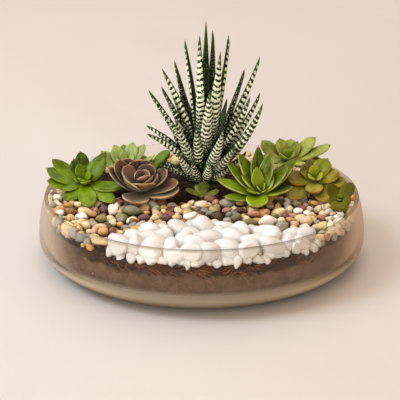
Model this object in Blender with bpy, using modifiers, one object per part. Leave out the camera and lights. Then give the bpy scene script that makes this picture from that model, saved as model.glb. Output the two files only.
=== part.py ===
"""A succulent garden in a low round glass bowl.

The origin is the centre of the bowl's foot, +Z is up and -Y is the front. From the foot upwards the garden
holds potting soil, a layer of mixed gravel with a drift of white pebbles at the front, and ten plants whose
stems stand in plain holes in the soil. Angles of leaves are measured from +X towards +Y, as seen from above.
"""

import math
import random

import bmesh
import bpy
from mathutils import Matrix, Vector
from mathutils.bvhtree import BVHTree

MM = 0.001
GAP = 0.3 * MM

# The bowl: a low glass dish, widest a third of the way up, drawn in a little towards its rim.
BOWL_RADIUS = 125 * MM
BOWL_HEIGHT = 52 * MM
BOWL_FOOT_RADIUS = 92 * MM
BOWL_BELLY_HEIGHT = 20 * MM
BOWL_RIM_RADIUS = 119.5 * MM
BOWL_WALL = 2.8 * MM
BOWL_FLOOR = 5 * MM
TURNED_STEPS = 44
WALL_SHARES = (0.0, 0.05, 0.20, 0.40, 0.72)

# The fill: soil with a slight mound, and a layer of stones on it.
SOIL_MOUND = 3 * MM
STONE_LAYER_TOP = 43 * MM
STONE_ROOT = 42 * MM
STEM_HOLE_DEPTH = 10 * MM
FILL_RINGS = (0.55, 1.0)

# The drift of white pebbles is the part of this ellipse that lies inside the wall.
DRIFT_CENTRE = (11 * MM, -112 * MM)
DRIFT_HALF_SIZE = (88 * MM, 64 * MM)

# Bare soil round the plants at the back, where no stones lie.
BARE_CENTRE = (0.0, 42 * MM)
BARE_HALF_SIZE = (93 * MM, 52 * MM)
FOOT_CLEARANCE = 8 * MM

# Stones: their spacing, largest radius, height over the layer, sides, and the rings of one stone as shares of
# its height and radius, from its root in the layer upwards.
GRAVEL = {
    "pitch": 11.3 * MM, "radius": 5.6 * MM, "height": 3.4 * MM, "sides": 5,
    "rings": ((0, 1.0), (0.5, 1.0)),
}
WHITE = {
    "pitch": 12.8 * MM, "radius": 6.8 * MM, "height": 8.2 * MM, "sides": 6,
    "rings": ((0, 1.0), (0.44, 1.0), (0.84, 0.68)),
}
STONE_WALL_RADIUS = 117.5 * MM

# Leaf forms: share of the width at the root, where the leaf is widest, how its end closes, and as shares of its
# half width, its thickness and how far its edges rise.
SPOON = {"root": 0.45, "widest": 0.60, "end": (2.1, 0.70), "thick": 0.26, "cup": 0.22}
PETAL = {"root": 0.45, "widest": 0.60, "end": (2.6, 0.55), "thick": 0.15, "cup": 0.30}
LANCE = {"root": 0.55, "widest": 0.42, "end": (1.5, 0.90), "thick": 0.30, "cup": 0.26}
BEAN = {"root": 0.55, "widest": 0.58, "end": (2.4, 0.50), "thick": 0.42, "cup": 0.10}
SPEAR = {"root": 0.90, "widest": 0.16, "end": (1.1, 0.72), "thick": 0.40, "cup": 0.05}

# Each plant, in millimetres and degrees: heart of its rosette, how far it leans to the front, radius of its stem
# and of the stem's head, how far the roots of its leaves rise and spread over the head, leaf form, curl of its
# leaves, and the leaves as (azimuth, tilt, length, width) in the leaning plant's own frame, outermost first. A
# fifth number is a leaf's own curl. Tilt and length run from the heart to the leaf's tip.
PLANTS = {
    "rosette_left_green": {
        "heart": (-91, 8, 54.5), "lean": 22, "stem": 4.0, "head": 5.5, "rise": 3.0, "spread": 2.0,
        "form": SPOON, "curl": 7,
        "leaves": (
            (162, 14, 31, 13), (144, 17, 32, 13), (180, 6, 28, 13), (113, 22, 26, 12), (94, 18, 30, 14),
            (58, 18, 32, 12), (28, 16, 25, 12), (344, 8, 32, 16), (319, 8, 33, 13), (284, 16, 32, 16),
            (228, 10, 24, 15), (204, 4, 24, 12),
            (44, 34, 27, 13), (112, 54, 16, 9), (185, 42, 14, 9), (300, 50, 11, 8), (20, 60, 12, 8),
            (240, 70, 8, 6),
        ),
    },
    "rosette_back_pale": {
        "heart": (-60, 31, 59), "lean": 12, "stem": 4.0, "head": 5.0, "rise": 3.0, "spread": 2.0,
        "form": SPOON, "curl": 10,
        "leaves": (
            (150, 24, 24, 12), (122, 36, 22, 14), (73, 38, 22, 13), (47, 29, 25, 13), (18, 18, 21, 11),
            (95, 18, 25, 14), (340, 18, 18, 11), (215, 20, 17, 11), (262, 24, 16, 11),
            (100, 60, 14, 9), (20, 56, 13, 9), (190, 56, 12, 8), (280, 60, 10, 7),
        ),
    },
    "rosette_back_middle": {
        "heart": (-42, 36, 52), "lean": 5, "stem": 3.2, "head": 4.0, "rise": 2.5, "spread": 1.5,
        "form": BEAN, "curl": 5,
        "leaves": (
            (46, 31, 24, 10), (24, 36, 24, 8), (330, 20, 17, 10), (105, 34, 18, 9), (200, 78, 10, 7),
            (255, 40, 11, 7), (80, 62, 13, 7),
        ),
    },
    "rosette_purple": {
        "heart": (-46, -3, 56.5), "lean": 20, "stem": 4.2, "head": 5.5, "rise": 3.5, "spread": 2.0,
        "form": PETAL, "curl": 14,
        "leaves": (
            (152, 18, 32, 17), (128, 24, 28, 17), (94, 22, 26, 20), (18, 26, 25, 17), (2, 12, 29, 17),
            (340, 4, 31, 18), (255, 6, 24, 20),
            (192, 30, 21, 17), (300, 36, 16, 17), (352, 34, 20, 16), (66, 40, 20, 16), (150, 42, 20, 15),
            (240, 46, 15, 14), (110, 58, 15, 12), (25, 58, 14, 12), (310, 58, 12, 11), (205, 62, 12, 10),
            (80, 78, 10, 8),
        ),
    },
    "haworthia": {
        "heart": (1, 27, 49), "lean": 0, "stem": 6.5, "head": 8.5, "rise": 14.0, "spread": 5.0,
        "form": SPEAR, "curl": 4,
        "leaves": (
            (172, 29, 40, 11, -10), (195, 27, 39, 11, -8), (215, 50, 38, 11), (245, 46, 30, 12, 10),
            (285, 44, 32, 12, 10), (330, 35, 31, 11, 8), (10, 34, 42, 11, 8), (90, 40, 44, 11),
            (132, 42, 46, 11), (48, 42, 46, 11),
            (168, 44, 63, 12, -22), (190, 44, 61, 12, -20), (318, 48, 50, 12, 10), (300, 59, 61, 13, 10),
            (222, 64, 65, 12), (250, 74, 52, 13, 8), (160, 59, 74, 12, -4), (180, 61, 86, 12, -6),
            (8, 58, 84, 12, 10), (335, 55, 87, 12, 18), (350, 63, 81, 12, 8), (108, 56, 66, 12),
            (60, 57, 70, 12),
            (190, 68, 86, 12, -6), (175, 71, 97, 12, -8), (140, 73, 98, 12, -3), (10, 66, 109, 12, 6),
            (20, 69, 95, 12), (285, 76, 84, 13), (150, 82, 114, 12, -3), (320, 81, 110, 13),
            (30, 79, 118, 12), (60, 83, 120, 12), (235, 88, 119, 13, 1), (75, 86, 128, 12, 2),
        ),
    },
    "rosette_right_green": {
        "heart": (45, -12, 53.5), "lean": 20, "stem": 4.4, "head": 5.5, "rise": 4.0, "spread": 2.0,
        "form": LANCE, "curl": 9,
        "leaves": (
            (169, 16, 36, 12), (191, 4, 29, 12), (143, 26, 36, 12), (125, 36, 36, 13), (94, 44, 37, 14),
            (42, 24, 42, 12), (8, 10, 25, 13), (251, 16, 23, 17), (108, 22, 32, 12), (70, 24, 34, 12),
            (32, 34, 31, 11), (70, 55, 34, 11), (156, 40, 21, 11), (215, 40, 16, 10), (33, 50, 17, 9),
            (114, 66, 22, 11), (310, 54, 13, 8), (200, 68, 12, 7), (20, 76, 12, 7),
        ),
    },
    "rosette_back_right": {
        "heart": (68, 37, 62), "lean": 12, "stem": 4.2, "head": 5.0, "rise": 3.0, "spread": 2.0,
        "form": SPOON, "curl": 6,
        "leaves": (
            (144, 24, 27, 16), (115, 42, 20, 13), (53, 44, 18, 11), (29, 32, 29, 13), (10, 20, 36, 13),
            (352, 6, 28, 12), (180, 18, 20, 12), (250, 16, 18, 12), (312, 16, 18, 11), (82, 16, 25, 13),
            (95, 70, 11, 8), (335, 60, 12, 8), (220, 52, 13, 9),
        ),
    },
    "rosette_olive": {
        "heart": (87, 6, 57.5), "lean": 25, "stem": 3.8, "head": 4.6, "rise": 3.0, "spread": 2.0,
        "form": SPOON, "curl": 4,
        "leaves": (
            (218, -2, 28, 14), (289, 3, 24, 13), (351, 6, 24, 14), (95, 14, 20, 14), (265, 10, 22, 17),
            (178, 12, 22, 17), (4, 18, 20, 15), (134, 36, 17, 15), (55, 36, 20, 17),
            (100, 66, 11, 8), (335, 58, 10, 8), (220, 60, 9, 7),
        ),
    },
    "rosette_far_right": {
        "heart": (103, -26, 53), "lean": 35, "stem": 2.6, "head": 3.2, "rise": 1.5, "spread": 1.0,
        "form": SPOON, "curl": 3,
        "leaves": (
            (127, 26, 15, 11), (47, 26, 17, 11), (340, 26, 10, 10), (266, 20, 12, 14), (200, 16, 9, 9),
            (80, 66, 6, 5), (260, 70, 5, 4),
        ),
    },
    "sprig": {
        "heart": (1, 4, 46), "lean": 15, "stem": 2.2, "head": 2.8, "rise": 1.0, "spread": 0.6,
        "form": BEAN, "curl": 2,
        "leaves": ((187, 8, 14, 7), (348, 6, 13, 8), (60, 26, 10, 8), (262, 22, 9, 7), (120, 34, 11, 7)),
    },
}
COLOURS = {
    "rosette_left_green": (0.20, 0.38, 0.06), "rosette_back_pale": (0.36, 0.52, 0.24),
    "rosette_back_middle": (0.22, 0.42, 0.12), "rosette_purple": (0.17, 0.10, 0.09),
    "haworthia": (0.06, 0.14, 0.05), "rosette_right_green": (0.20, 0.40, 0.05),
    "rosette_back_right": (0.22, 0.36, 0.12), "rosette_olive": (0.38, 0.38, 0.10),
    "rosette_far_right": (0.20, 0.30, 0.05), "sprig": (0.18, 0.28, 0.08),
}
LEAF_CLEARANCE = 0.5 * MM
LEAF_FLOOR = 46.9 * MM
DRIFT_FLOOR = 52.5 * MM
PLANT_REACH = 124 * MM
BEND_STEP = 3
MOST_BENDS = 24
SHORTENING = 0.95
LONG_LEAF = 60
SHORT_LEAF = 18


def clear_scene():
    for thing in list(bpy.data.objects):
        bpy.data.objects.remove(thing, do_unlink=True)


def collection(name):
    made = bpy.data.collections.new(name)
    bpy.context.scene.collection.children.link(made)
    return made


def material(name, colour, roughness, alpha=1.0):
    made = bpy.data.materials.new(name)
    made.use_nodes = True
    shader = made.node_tree.nodes["Principled BSDF"]
    shader.inputs["Base Color"].default_value = (*colour, 1)
    shader.inputs["Roughness"].default_value = roughness
    shader.inputs["Metallic"].default_value = 0
    shader.inputs["Alpha"].default_value = alpha
    return made


def add_object(name, mesh, owner, finish=None):
    made = bpy.data.objects.new(name, mesh)
    owner.objects.link(made)
    if finish:
        mesh.materials.clear()
        mesh.materials.append(finish)
    return made


def mesh_of(shape, name):
    """Ends the work on a shape and returns it as a mesh."""
    mesh = bpy.data.meshes.new(name)
    shape.to_mesh(mesh)
    shape.free()
    return mesh


def outer_radius(height):
    """The bowl's outside radius: a quarter ellipse up to the belly, then a gentle draw-in up to the rim."""
    if height < BOWL_BELLY_HEIGHT:
        drop = 1 - height / BOWL_BELLY_HEIGHT
        return BOWL_FOOT_RADIUS + (BOWL_RADIUS - BOWL_FOOT_RADIUS) * math.sqrt(1 - drop * drop)
    rise = (height - BOWL_BELLY_HEIGHT) / (BOWL_HEIGHT - BOWL_BELLY_HEIGHT)
    return BOWL_RADIUS - (BOWL_RADIUS - BOWL_RIM_RADIUS) * rise * rise


def wall_height(share):
    return BOWL_FLOOR + (BOWL_HEIGHT - BOWL_FLOOR) * share


def inner_radius(height):
    """The bowl's inside radius, measured over a floor that is thicker than the wall."""
    share = (height - BOWL_FLOOR) / (BOWL_HEIGHT - BOWL_FLOOR)
    return outer_radius(share * BOWL_HEIGHT) - BOWL_WALL


def soil_top(radius):
    """The soil's height: a slight mound, lowest at the wall."""
    return wall_height(WALL_SHARES[-1]) + SOIL_MOUND * (1 - (radius / BOWL_RADIUS) ** 2)


def turned(name, profile, owner, finish=None):
    """A solid of revolution from a profile that runs from the axis, over the top, and down its outer side."""
    mesh = bpy.data.meshes.new(name)
    points = [(radius, 0, height) for radius, height in profile]
    mesh.from_pydata(points, [(i, i + 1) for i in range(len(points) - 1)], [])
    made = add_object(name, mesh, owner, finish)
    screw = made.modifiers.new("turn", "SCREW")
    screw.axis = "Z"
    screw.steps = TURNED_STEPS
    screw.render_steps = TURNED_STEPS
    screw.use_merge_vertices = True
    screw.merge_threshold = 0.01 * MM
    screw.use_smooth_shade = True
    return made


def make_bowl(owner):
    inside_heights = [wall_height(share) for share in (*WALL_SHARES, 0.97)]
    outside_heights = [BOWL_HEIGHT * share for share in (0.97, 0.70, 0.385, 0.18, 0.04, 0.0)]
    profile = [(0, BOWL_FLOOR)]
    profile += [(inner_radius(height), height) for height in inside_heights]
    profile += [(BOWL_RIM_RADIUS - BOWL_WALL * 0.5, BOWL_HEIGHT)]
    profile += [(outer_radius(height), height) for height in outside_heights]
    profile += [(0, 0)]
    return turned("glass_bowl", profile, owner, material("glass", (0.80, 0.80, 0.76), 0.03, 0.35))


def applied(made):
    """Turns an object with modifiers into a plain mesh that has been cut and joined as they say."""
    graph = bpy.context.evaluated_depsgraph_get()
    mesh = bpy.data.meshes.new_from_object(made.evaluated_get(graph))
    made.modifiers.clear()
    made.data = mesh
    return made


def boolean(made, operation, other=None, group=None):
    step = made.modifiers.new(operation.lower(), "BOOLEAN")
    step.operation = operation
    step.solver = "MANIFOLD"
    if group:
        step.operand_type = "COLLECTION"
        step.collection = group
    else:
        step.object = other
    return applied(made)


def cut(made, operation, mesh):
    """Cuts an object with a helper mesh, which is gone afterwards."""
    cutter = bpy.data.objects.new("cutter", mesh)
    cutter.hide_render = True
    cutter.display_type = "WIRE"
    bpy.context.scene.collection.objects.link(cutter)
    boolean(made, operation, cutter)
    bpy.data.objects.remove(cutter)
    return made


def keep_main_body(mesh):
    """Drops the sealed hollows and loose scraps that a union of many pieces leaves."""
    shape = bmesh.new()
    shape.from_mesh(mesh)
    left = set(shape.faces)
    bodies = []
    while left:
        body = set()
        ahead = [left.pop()]
        while ahead:
            face = ahead.pop()
            body.add(face)
            inner = [edge for edge in face.edges if len(edge.link_faces) == 2]
            near = {other for edge in inner for other in edge.link_faces} & left
            left -= near
            ahead.extend(near)
        bodies.append(body)
    main = max(bodies, key=len)
    bmesh.ops.delete(shape, geom=[face for face in shape.faces if face not in main], context="FACES")
    shape.to_mesh(mesh)
    shape.free()


def fuse(base, pieces):
    """Joins the pieces to the base in one union, and removes them."""
    group = collection("pieces_of_" + base.name)
    made = [add_object("piece", mesh, group) for mesh in pieces]
    boolean(base, "UNION", group=group)
    for piece in made:
        bpy.data.objects.remove(piece)
    bpy.data.collections.remove(group)
    keep_main_body(base.data)
    return base


def make_soil(owner):
    wall = [(inner_radius(wall_height(share)) - 2 * GAP, wall_height(share)) for share in WALL_SHARES]
    wall[0] = (wall[0][0], BOWL_FLOOR + GAP)
    reach = wall[-1][0]
    profile = [(0, soil_top(0))]
    profile += [(reach * share, soil_top(reach * share)) for share in FILL_RINGS]
    profile += wall[-2::-1]
    profile += [(0, BOWL_FLOOR + GAP)]
    soil = applied(turned("soil", profile, owner, material("potting_soil", (0.06, 0.045, 0.035), 0.95)))
    for plant in PLANTS.values():
        x, y, _ = plant["heart"]
        rings = ((plant["stem"] + 0.3, stem_bottom(plant) - 0.3), (plant["stem"] + 0.3, STONE_LAYER_TOP / MM))
        cut(soil, "DIFFERENCE", lathe_mesh(x, y, rings, 8))
    return soil


def stem_bottom(plant):
    x, y, _ = plant["heart"]
    return (soil_top(math.hypot(x, y) * MM) - STEM_HOLE_DEPTH) / MM


def lathe_mesh(x, y, rings, sides, apex=None):
    """An upright turned solid from rings of (radius, height) in millimetres, with a flat or a pointed top."""
    shape = bmesh.new()
    loops = []
    for radius, height in rings:
        angles = [math.tau * (corner + 0.5) / sides for corner in range(sides)]
        spots = [(x + radius * math.cos(angle), y + radius * math.sin(angle), height) for angle in angles]
        loops.append([shape.verts.new(Vector(spot) * MM) for spot in spots])
    for low, high in zip(loops, loops[1:]):
        for corner in range(sides):
            after = (corner + 1) % sides
            shape.faces.new((low[corner], low[after], high[after], high[corner]))
    shape.faces.new(loops[0][::-1])
    if apex is None:
        shape.faces.new(loops[-1])
    else:
        top = shape.verts.new(Vector((x, y, apex)) * MM)
        for corner in range(sides):
            shape.faces.new((loops[-1][corner], loops[-1][(corner + 1) % sides], top))
    return mesh_of(shape, "lathe")


def ellipse_drum(centre, half_size):
    """A tall upright drum whose outline is an ellipse."""
    shape = bmesh.new()
    bmesh.ops.create_cone(shape, cap_ends=True, segments=28, radius1=1, radius2=1, depth=4 * BOWL_HEIGHT)
    bmesh.ops.scale(shape, vec=(*half_size, 1), verts=shape.verts)
    bmesh.ops.translate(shape, vec=(*centre, 0), verts=shape.verts)
    return mesh_of(shape, "drum")


def stone_layer(name, owner, finish):
    """The packed lower part of the stones: a thin disc that lies on the soil inside the wall."""
    reach = inner_radius(wall_height(WALL_SHARES[-1])) - 2 * GAP
    profile = [(0, STONE_LAYER_TOP), (inner_radius(STONE_LAYER_TOP) - 2 * GAP, STONE_LAYER_TOP)]
    profile += [(reach * share, soil_top(reach * share) + GAP) for share in FILL_RINGS[::-1]]
    profile += [(0, soil_top(0) + GAP)]
    return applied(turned(name, profile, owner, finish))


def ellipse_depth(x, y, centre, half_size):
    """About how far the point lies inside the ellipse, or outside it where negative."""
    across = (x - centre[0]) / half_size[0]
    along = (y - centre[1]) / half_size[1]
    slope = 2 * math.hypot(across / half_size[0], along / half_size[1])
    return (1 - across * across - along * along) / max(slope, 1e-6)


def room_for_white(x, y):
    """Radius of the largest stone that this place in the drift has room for."""
    depth = ellipse_depth(x, y, DRIFT_CENTRE, DRIFT_HALF_SIZE) - 4 * GAP
    return min(STONE_WALL_RADIUS - math.hypot(x, y), depth)


def room_for_gravel(x, y):
    """Radius of the largest stone that this place has room for, between wall, drift, bare soil and stems."""
    hearts = [plant["heart"] for plant in PLANTS.values()]
    to_stem = min(math.hypot(x - heart[0] * MM, y - heart[1] * MM) for heart in hearts)
    return min(
        STONE_WALL_RADIUS - math.hypot(x, y),
        to_stem - FOOT_CLEARANCE,
        -ellipse_depth(x, y, DRIFT_CENTRE, DRIFT_HALF_SIZE),
        -ellipse_depth(x, y, BARE_CENTRE, BARE_HALF_SIZE),
    )


def stone_mesh(x, y, size, kind, draw):
    """One stone: a blunt knob of uneven rings that stands in the layer, with its peak off its middle."""
    shape = bmesh.new()
    sides = kind["sides"]
    height = kind["height"] * (0.3 + 0.7 * size) * draw.uniform(0.85, 1.1)
    squash = draw.uniform(0.72, 0.95)
    turn = draw.uniform(0, math.tau)
    bulges = [draw.uniform(0.86, 1.05) for _ in range(sides)]
    slopes = [draw.uniform(-0.08, 0.08) for _ in range(sides)]
    loops = []
    for share, spread in kind["rings"]:
        loop = []
        for corner in range(sides):
            angle = math.tau * corner / sides
            radius = kind["radius"] * size * spread * bulges[corner]
            across = radius * math.cos(angle)
            along = radius * math.sin(angle) * squash
            spot = (
                x + across * math.cos(turn) - along * math.sin(turn),
                y + across * math.sin(turn) + along * math.cos(turn),
                STONE_ROOT if share == 0 else STONE_LAYER_TOP + height * (share + slopes[corner]),
            )
            loop.append(shape.verts.new(spot))
        loops.append(loop)
    for low, high in zip(loops, loops[1:]):
        for corner in range(sides):
            after = (corner + 1) % sides
            shape.faces.new((low[corner], low[after], high[after], high[corner]))
    shape.faces.new(loops[0][::-1])
    lean = kind["radius"] * size * 0.2
    peak = (x + draw.uniform(-lean, lean), y + draw.uniform(-lean, lean), STONE_LAYER_TOP + height)
    top = shape.verts.new(peak)
    for corner in range(sides):
        shape.faces.new((loops[-1][corner], loops[-1][(corner + 1) % sides], top))
    bmesh.ops.triangulate(shape, faces=shape.faces)
    return mesh_of(shape, "stone")


def stones(kind, room, draw):
    """Stones in rings from the wall inwards, each shifted a little, and smaller where there is less room."""
    pitch = kind["pitch"]
    ring = STONE_WALL_RADIUS - kind["radius"]
    turn = 0.0
    made = []
    while ring > 0:
        count = max(1, int(math.tau * ring / pitch))
        turn += math.pi / count
        for place in range(count):
            angle = turn + math.tau * (place + draw.uniform(-0.08, 0.08)) / count
            off_axis = ring - draw.uniform(0, 0.12) * pitch
            x, y = off_axis * math.cos(angle), off_axis * math.sin(angle)
            size = min(draw.uniform(0.78, 1.0), room(x, y) / (1.06 * kind["radius"]))
            if size > 0.5:
                made.append(stone_mesh(x, y, size, kind, draw))
        ring -= 0.9 * pitch
    return made


def make_white_pebbles(owner):
    """The drift at the front, its stones standing out of the layer that they are packed in."""
    finish = material("white_pebble", (0.86, 0.85, 0.81), 0.6)
    layer = stone_layer("white_pebbles", owner, finish)
    cut(layer, "INTERSECT", ellipse_drum(DRIFT_CENTRE, [size - GAP for size in DRIFT_HALF_SIZE]))
    return fuse(layer, stones(WHITE, room_for_white, random.Random(11)))


def make_gravel(owner):
    """Mixed gravel over the rest of the soil, left out where the plants stand."""
    finish = material("mixed_gravel", (0.45, 0.34, 0.26), 0.7)
    layer = stone_layer("gravel", owner, finish)
    cut(layer, "DIFFERENCE", ellipse_drum(DRIFT_CENTRE, [size + GAP for size in DRIFT_HALF_SIZE]))
    cut(layer, "DIFFERENCE", ellipse_drum(BARE_CENTRE, BARE_HALF_SIZE))
    for plant in PLANTS.values():
        x, y, _ = plant["heart"]
        if ellipse_depth(x * MM, y * MM, BARE_CENTRE, BARE_HALF_SIZE) < FOOT_CLEARANCE:
            rings = ((FOOT_CLEARANCE / MM, 0), (FOOT_CLEARANCE / MM, 2 * BOWL_HEIGHT / MM))
            cut(layer, "DIFFERENCE", lathe_mesh(x, y, rings, 10))
    return fuse(layer, stones(GRAVEL, room_for_gravel, random.Random(29)))


def width_share(form, t):
    """Half width of a leaf at t of its length, as a share of its widest."""
    if t < form["widest"]:
        return form["root"] + (1 - form["root"]) * math.sin(math.pi / 2 * t / form["widest"])
    power, closing = form["end"]
    return (1 - ((t - form["widest"]) / (1 - form["widest"])) ** power) ** closing


def section_angles(sides):
    """Angles of a leaf's section corners: its two edges and its keel, and one on top where there are four."""
    if sides == 3:
        return (0, math.pi, 1.5 * math.pi)
    return [math.tau * corner / sides for corner in range(sides)]


def spine(plant, leaf, order):
    """The arc that a leaf follows: its root's distance and height from the heart, start angle, bend, length."""
    tilt, length = math.radians(leaf[1]), leaf[2]
    curl = math.radians(leaf[4] if len(leaf) > 4 else plant["curl"])
    share = order / len(plant["leaves"])
    root_out = plant["spread"] * (1 - share)
    root_up = plant["rise"] * share
    out = length * math.cos(tilt) - root_out
    up = length * math.sin(tilt) - root_up
    chord = math.hypot(out, up)
    aim = math.atan2(up, out)
    return root_out, root_up, aim - curl, 2 * curl, chord * curl / math.sin(curl)


def leaf_mesh(plant, leaf, order, margin=0.0):
    """A leaf made from a ball whose poles are its root and its tip, laid along the leaf's arc."""
    form = plant["form"]
    sides = 3 if form is SPEAR else 4
    rings = 6 if leaf[2] > LONG_LEAF else 5 if leaf[2] > SHORT_LEAF else 4
    half_width = leaf[3] / 2
    root_out, root_up, start, bend, length = spine(plant, leaf, order)
    azimuth = math.radians(leaf[0])
    outward = Vector((math.cos(azimuth), math.sin(azimuth), 0))
    across = Vector((-outward.y, outward.x, 0))
    root = outward * root_out + Vector((0, 0, root_up))
    lean = Matrix.Rotation(math.radians(plant["lean"]), 3, "X")
    angles = section_angles(sides)
    shape = bmesh.new()
    bmesh.ops.create_uvsphere(shape, u_segments=sides, v_segments=rings, radius=1)
    for point in shape.verts:
        corner = round(math.atan2(point.co.y, point.co.x) % math.tau / (math.tau / sides)) % sides
        angle = angles[corner]
        t = math.acos(max(-1.0, min(1.0, -point.co.z))) / math.pi
        if form is not SPEAR:
            t = (1 - math.cos(math.pi * t)) / 2
        share = 0.0 if abs(point.co.z) > 0.9999 else width_share(form, t)
        grown = margin if share else 0.0
        half = half_width * share + grown
        thick = form["thick"] * half_width * (0.35 + 0.65 * share) + grown if share else 0.0
        lift = thick * math.sin(angle) * (0.6 if math.sin(angle) > 0 else 1.4)
        lift += form["cup"] * half * (math.cos(angle) ** 2 - 0.3) * share
        here = start + bend * t
        run = (math.sin(here) - math.sin(start)) / bend * (length + 2 * margin)
        rise = (math.cos(start) - math.cos(here)) / bend * (length + 2 * margin)
        normal = Vector((0, 0, math.cos(here))) - outward * math.sin(here)
        spot = root + outward * run + Vector((0, 0, rise)) + across * (half * math.cos(angle)) + normal * lift
        point.co = (Vector(plant["heart"]) + lean @ spot) * MM
    return mesh_of(shape, "leaf")


def tree_of(mesh):
    return BVHTree.FromPolygons([point.co for point in mesh.vertices], [face.vertices for face in mesh.polygons])


def is_clear(mesh, plant, others):
    """True if a leaf stays above the stones, off the bowl, and crosses none of the leaves of other plants."""
    foot_x, foot_y = plant["heart"][0] * MM, plant["heart"][1] * MM
    for point in mesh.vertices:
        x, y, z = point.co
        off_axis = math.hypot(x, y)
        if max(abs(x), abs(y)) > PLANT_REACH:
            return False
        if z < BOWL_HEIGHT + 2 * GAP and off_axis > BOWL_RIM_RADIUS - BOWL_WALL - 2 * GAP:
            return False
        floor = LEAF_FLOOR
        if ellipse_depth(x, y, DRIFT_CENTRE, DRIFT_HALF_SIZE) > 0:
            floor = DRIFT_FLOOR
        if ellipse_depth(x, y, BARE_CENTRE, BARE_HALF_SIZE) > 2 * GAP:
            floor = soil_top(off_axis) + 2 * GAP
        if math.hypot(x - foot_x, y - foot_y) < FOOT_CLEARANCE - 2 * GAP:
            floor = soil_top(off_axis) + 2 * GAP
        if z < floor:
            return False
    tree = tree_of(mesh)
    return not any(tree.overlap(other) for other in others)


def bent_clear(plant, leaf, order, others):
    """The leaf, raised in steps and shortened, until it is clear of everything that stands round it."""
    leaf = list(leaf)
    for step in range(MOST_BENDS):
        if is_clear(leaf_mesh(plant, leaf, order, LEAF_CLEARANCE / MM), plant, others):
            return leaf
        if step % 3 == 2:
            leaf[2] *= SHORTENING
        else:
            leaf[1] += BEND_STEP
    return None


def make_plant(name, owner, others):
    """A plant: its stem with a domed head, and its leaves sunk into the head, all joined in one solid."""
    plant = PLANTS[name]
    x, y, z = plant["heart"]
    stem, head, rise = plant["stem"], plant["head"], plant["rise"]
    neck = max(z - head, soil_top(math.hypot(x, y) * MM) / MM + 0.6)
    loops = ((stem, stem_bottom(plant)), (stem, neck), (head, z - 0.2 * head), (head * 0.7, z + 0.7 * rise))
    finish = material(name, COLOURS[name], 0.45)
    base = add_object(name, lathe_mesh(x, y, loops, 8, z + rise + 1), owner, finish)
    leaves = []
    for order, leaf in enumerate(plant["leaves"]):
        bent = bent_clear(plant, leaf, order, others)
        if bent:
            leaves.append(leaf_mesh(plant, bent, order))
    fuse(base, leaves)
    others.extend(tree_of(leaf) for leaf in leaves)
    return base


def main():
    clear_scene()
    owner = collection("succulent_garden")
    make_bowl(owner)
    make_soil(owner)
    make_white_pebbles(owner)
    make_gravel(owner)
    others = []
    for name in PLANTS:
        make_plant(name, owner, others)
    for made in owner.objects:
        made.data.shade_smooth()


main()
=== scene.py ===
"""Looks of a succulent garden in a low round glass bowl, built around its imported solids.

The origin is the centre of the bowl's foot, +Z is up and -Y is the front. Shapes are in millimetres, as in
the part's source, and mesh_object turns them to metres. Camera, lights and paints are in metres.
"""

import itertools
import math
import random
from collections import namedtuple

import bpy
import numpy as np
from mathutils import Euler, Matrix, Vector, noise


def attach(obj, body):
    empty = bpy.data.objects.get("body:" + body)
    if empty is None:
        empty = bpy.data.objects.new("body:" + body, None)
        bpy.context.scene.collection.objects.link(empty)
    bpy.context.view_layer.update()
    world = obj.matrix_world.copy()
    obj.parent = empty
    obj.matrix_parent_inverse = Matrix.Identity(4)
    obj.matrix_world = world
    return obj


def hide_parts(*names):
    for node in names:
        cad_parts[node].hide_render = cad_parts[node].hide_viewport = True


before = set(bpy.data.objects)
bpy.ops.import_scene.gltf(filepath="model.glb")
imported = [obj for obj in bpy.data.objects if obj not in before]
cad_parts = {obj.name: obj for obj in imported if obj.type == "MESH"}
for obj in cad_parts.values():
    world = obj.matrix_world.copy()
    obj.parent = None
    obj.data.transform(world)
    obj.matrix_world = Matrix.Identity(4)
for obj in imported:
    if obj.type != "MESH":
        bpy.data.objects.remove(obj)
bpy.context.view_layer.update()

MM = 0.001

# The photograph's camera: its distance, height of view and angles, fitted to the rim's ellipse.
CAMERA_DISTANCE = 1.1
CAMERA_TILT = math.radians(20.253)
CAMERA_AIM = 0.052
CAMERA_LENS = 129.1
CAMERA_SHIFT = (-0.00405, -0.02423)
SENSOR = 36
PHOTO_SIZE = 400

# Lights: place, aim, size, power and colour. Warm light from all round fills the shadows.
LIGHTS = {
    "key": ((-1.2, -0.3, 1.4), (0, 0, 0.05), (0.8, 0.8), 18.5, (0.72, 0.88, 1.0)),
    "front": ((-0.1, -1.6, 1.15), (0, 0, 0.05), (1.4, 0.8), 5, (1.0, 0.95, 0.88)),
    "low": ((-0.7, -1.55, 0.35), (0, 0, 0.03), (1.4, 0.5), 10.5, (1.0, 0.95, 0.87)),
    "top": ((0.1, 1.5, 2.2), (0.0, 1.0, 0), (2.5, 2.5), 26, (0.96, 0.95, 0.91)),
}
WORLD_COLOUR = (1.0, 0.72, 0.50, 1)
WORLD_STRENGTH = 0.61

# The floor: half its side and heights of its sharp and soft folds in metres, squares along a side, its level
# in millimetres, half side and level of the plain floor beyond it, and its colours.
FLOOR_HALF = 1.5
FOLD_HEIGHT = 0.010
WAVE_HEIGHT = 0.006
FLOOR_CELLS = 150
FLOOR_LEVEL = -0.05
FAR_HALF = 9000
FAR_LEVEL = -0.06
CLOTH_LIGHT = (222, 218, 217)
CLOTH_DARK = (216, 211, 208)
CLOTH_GRAIN = (208, 197, 192)

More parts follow.
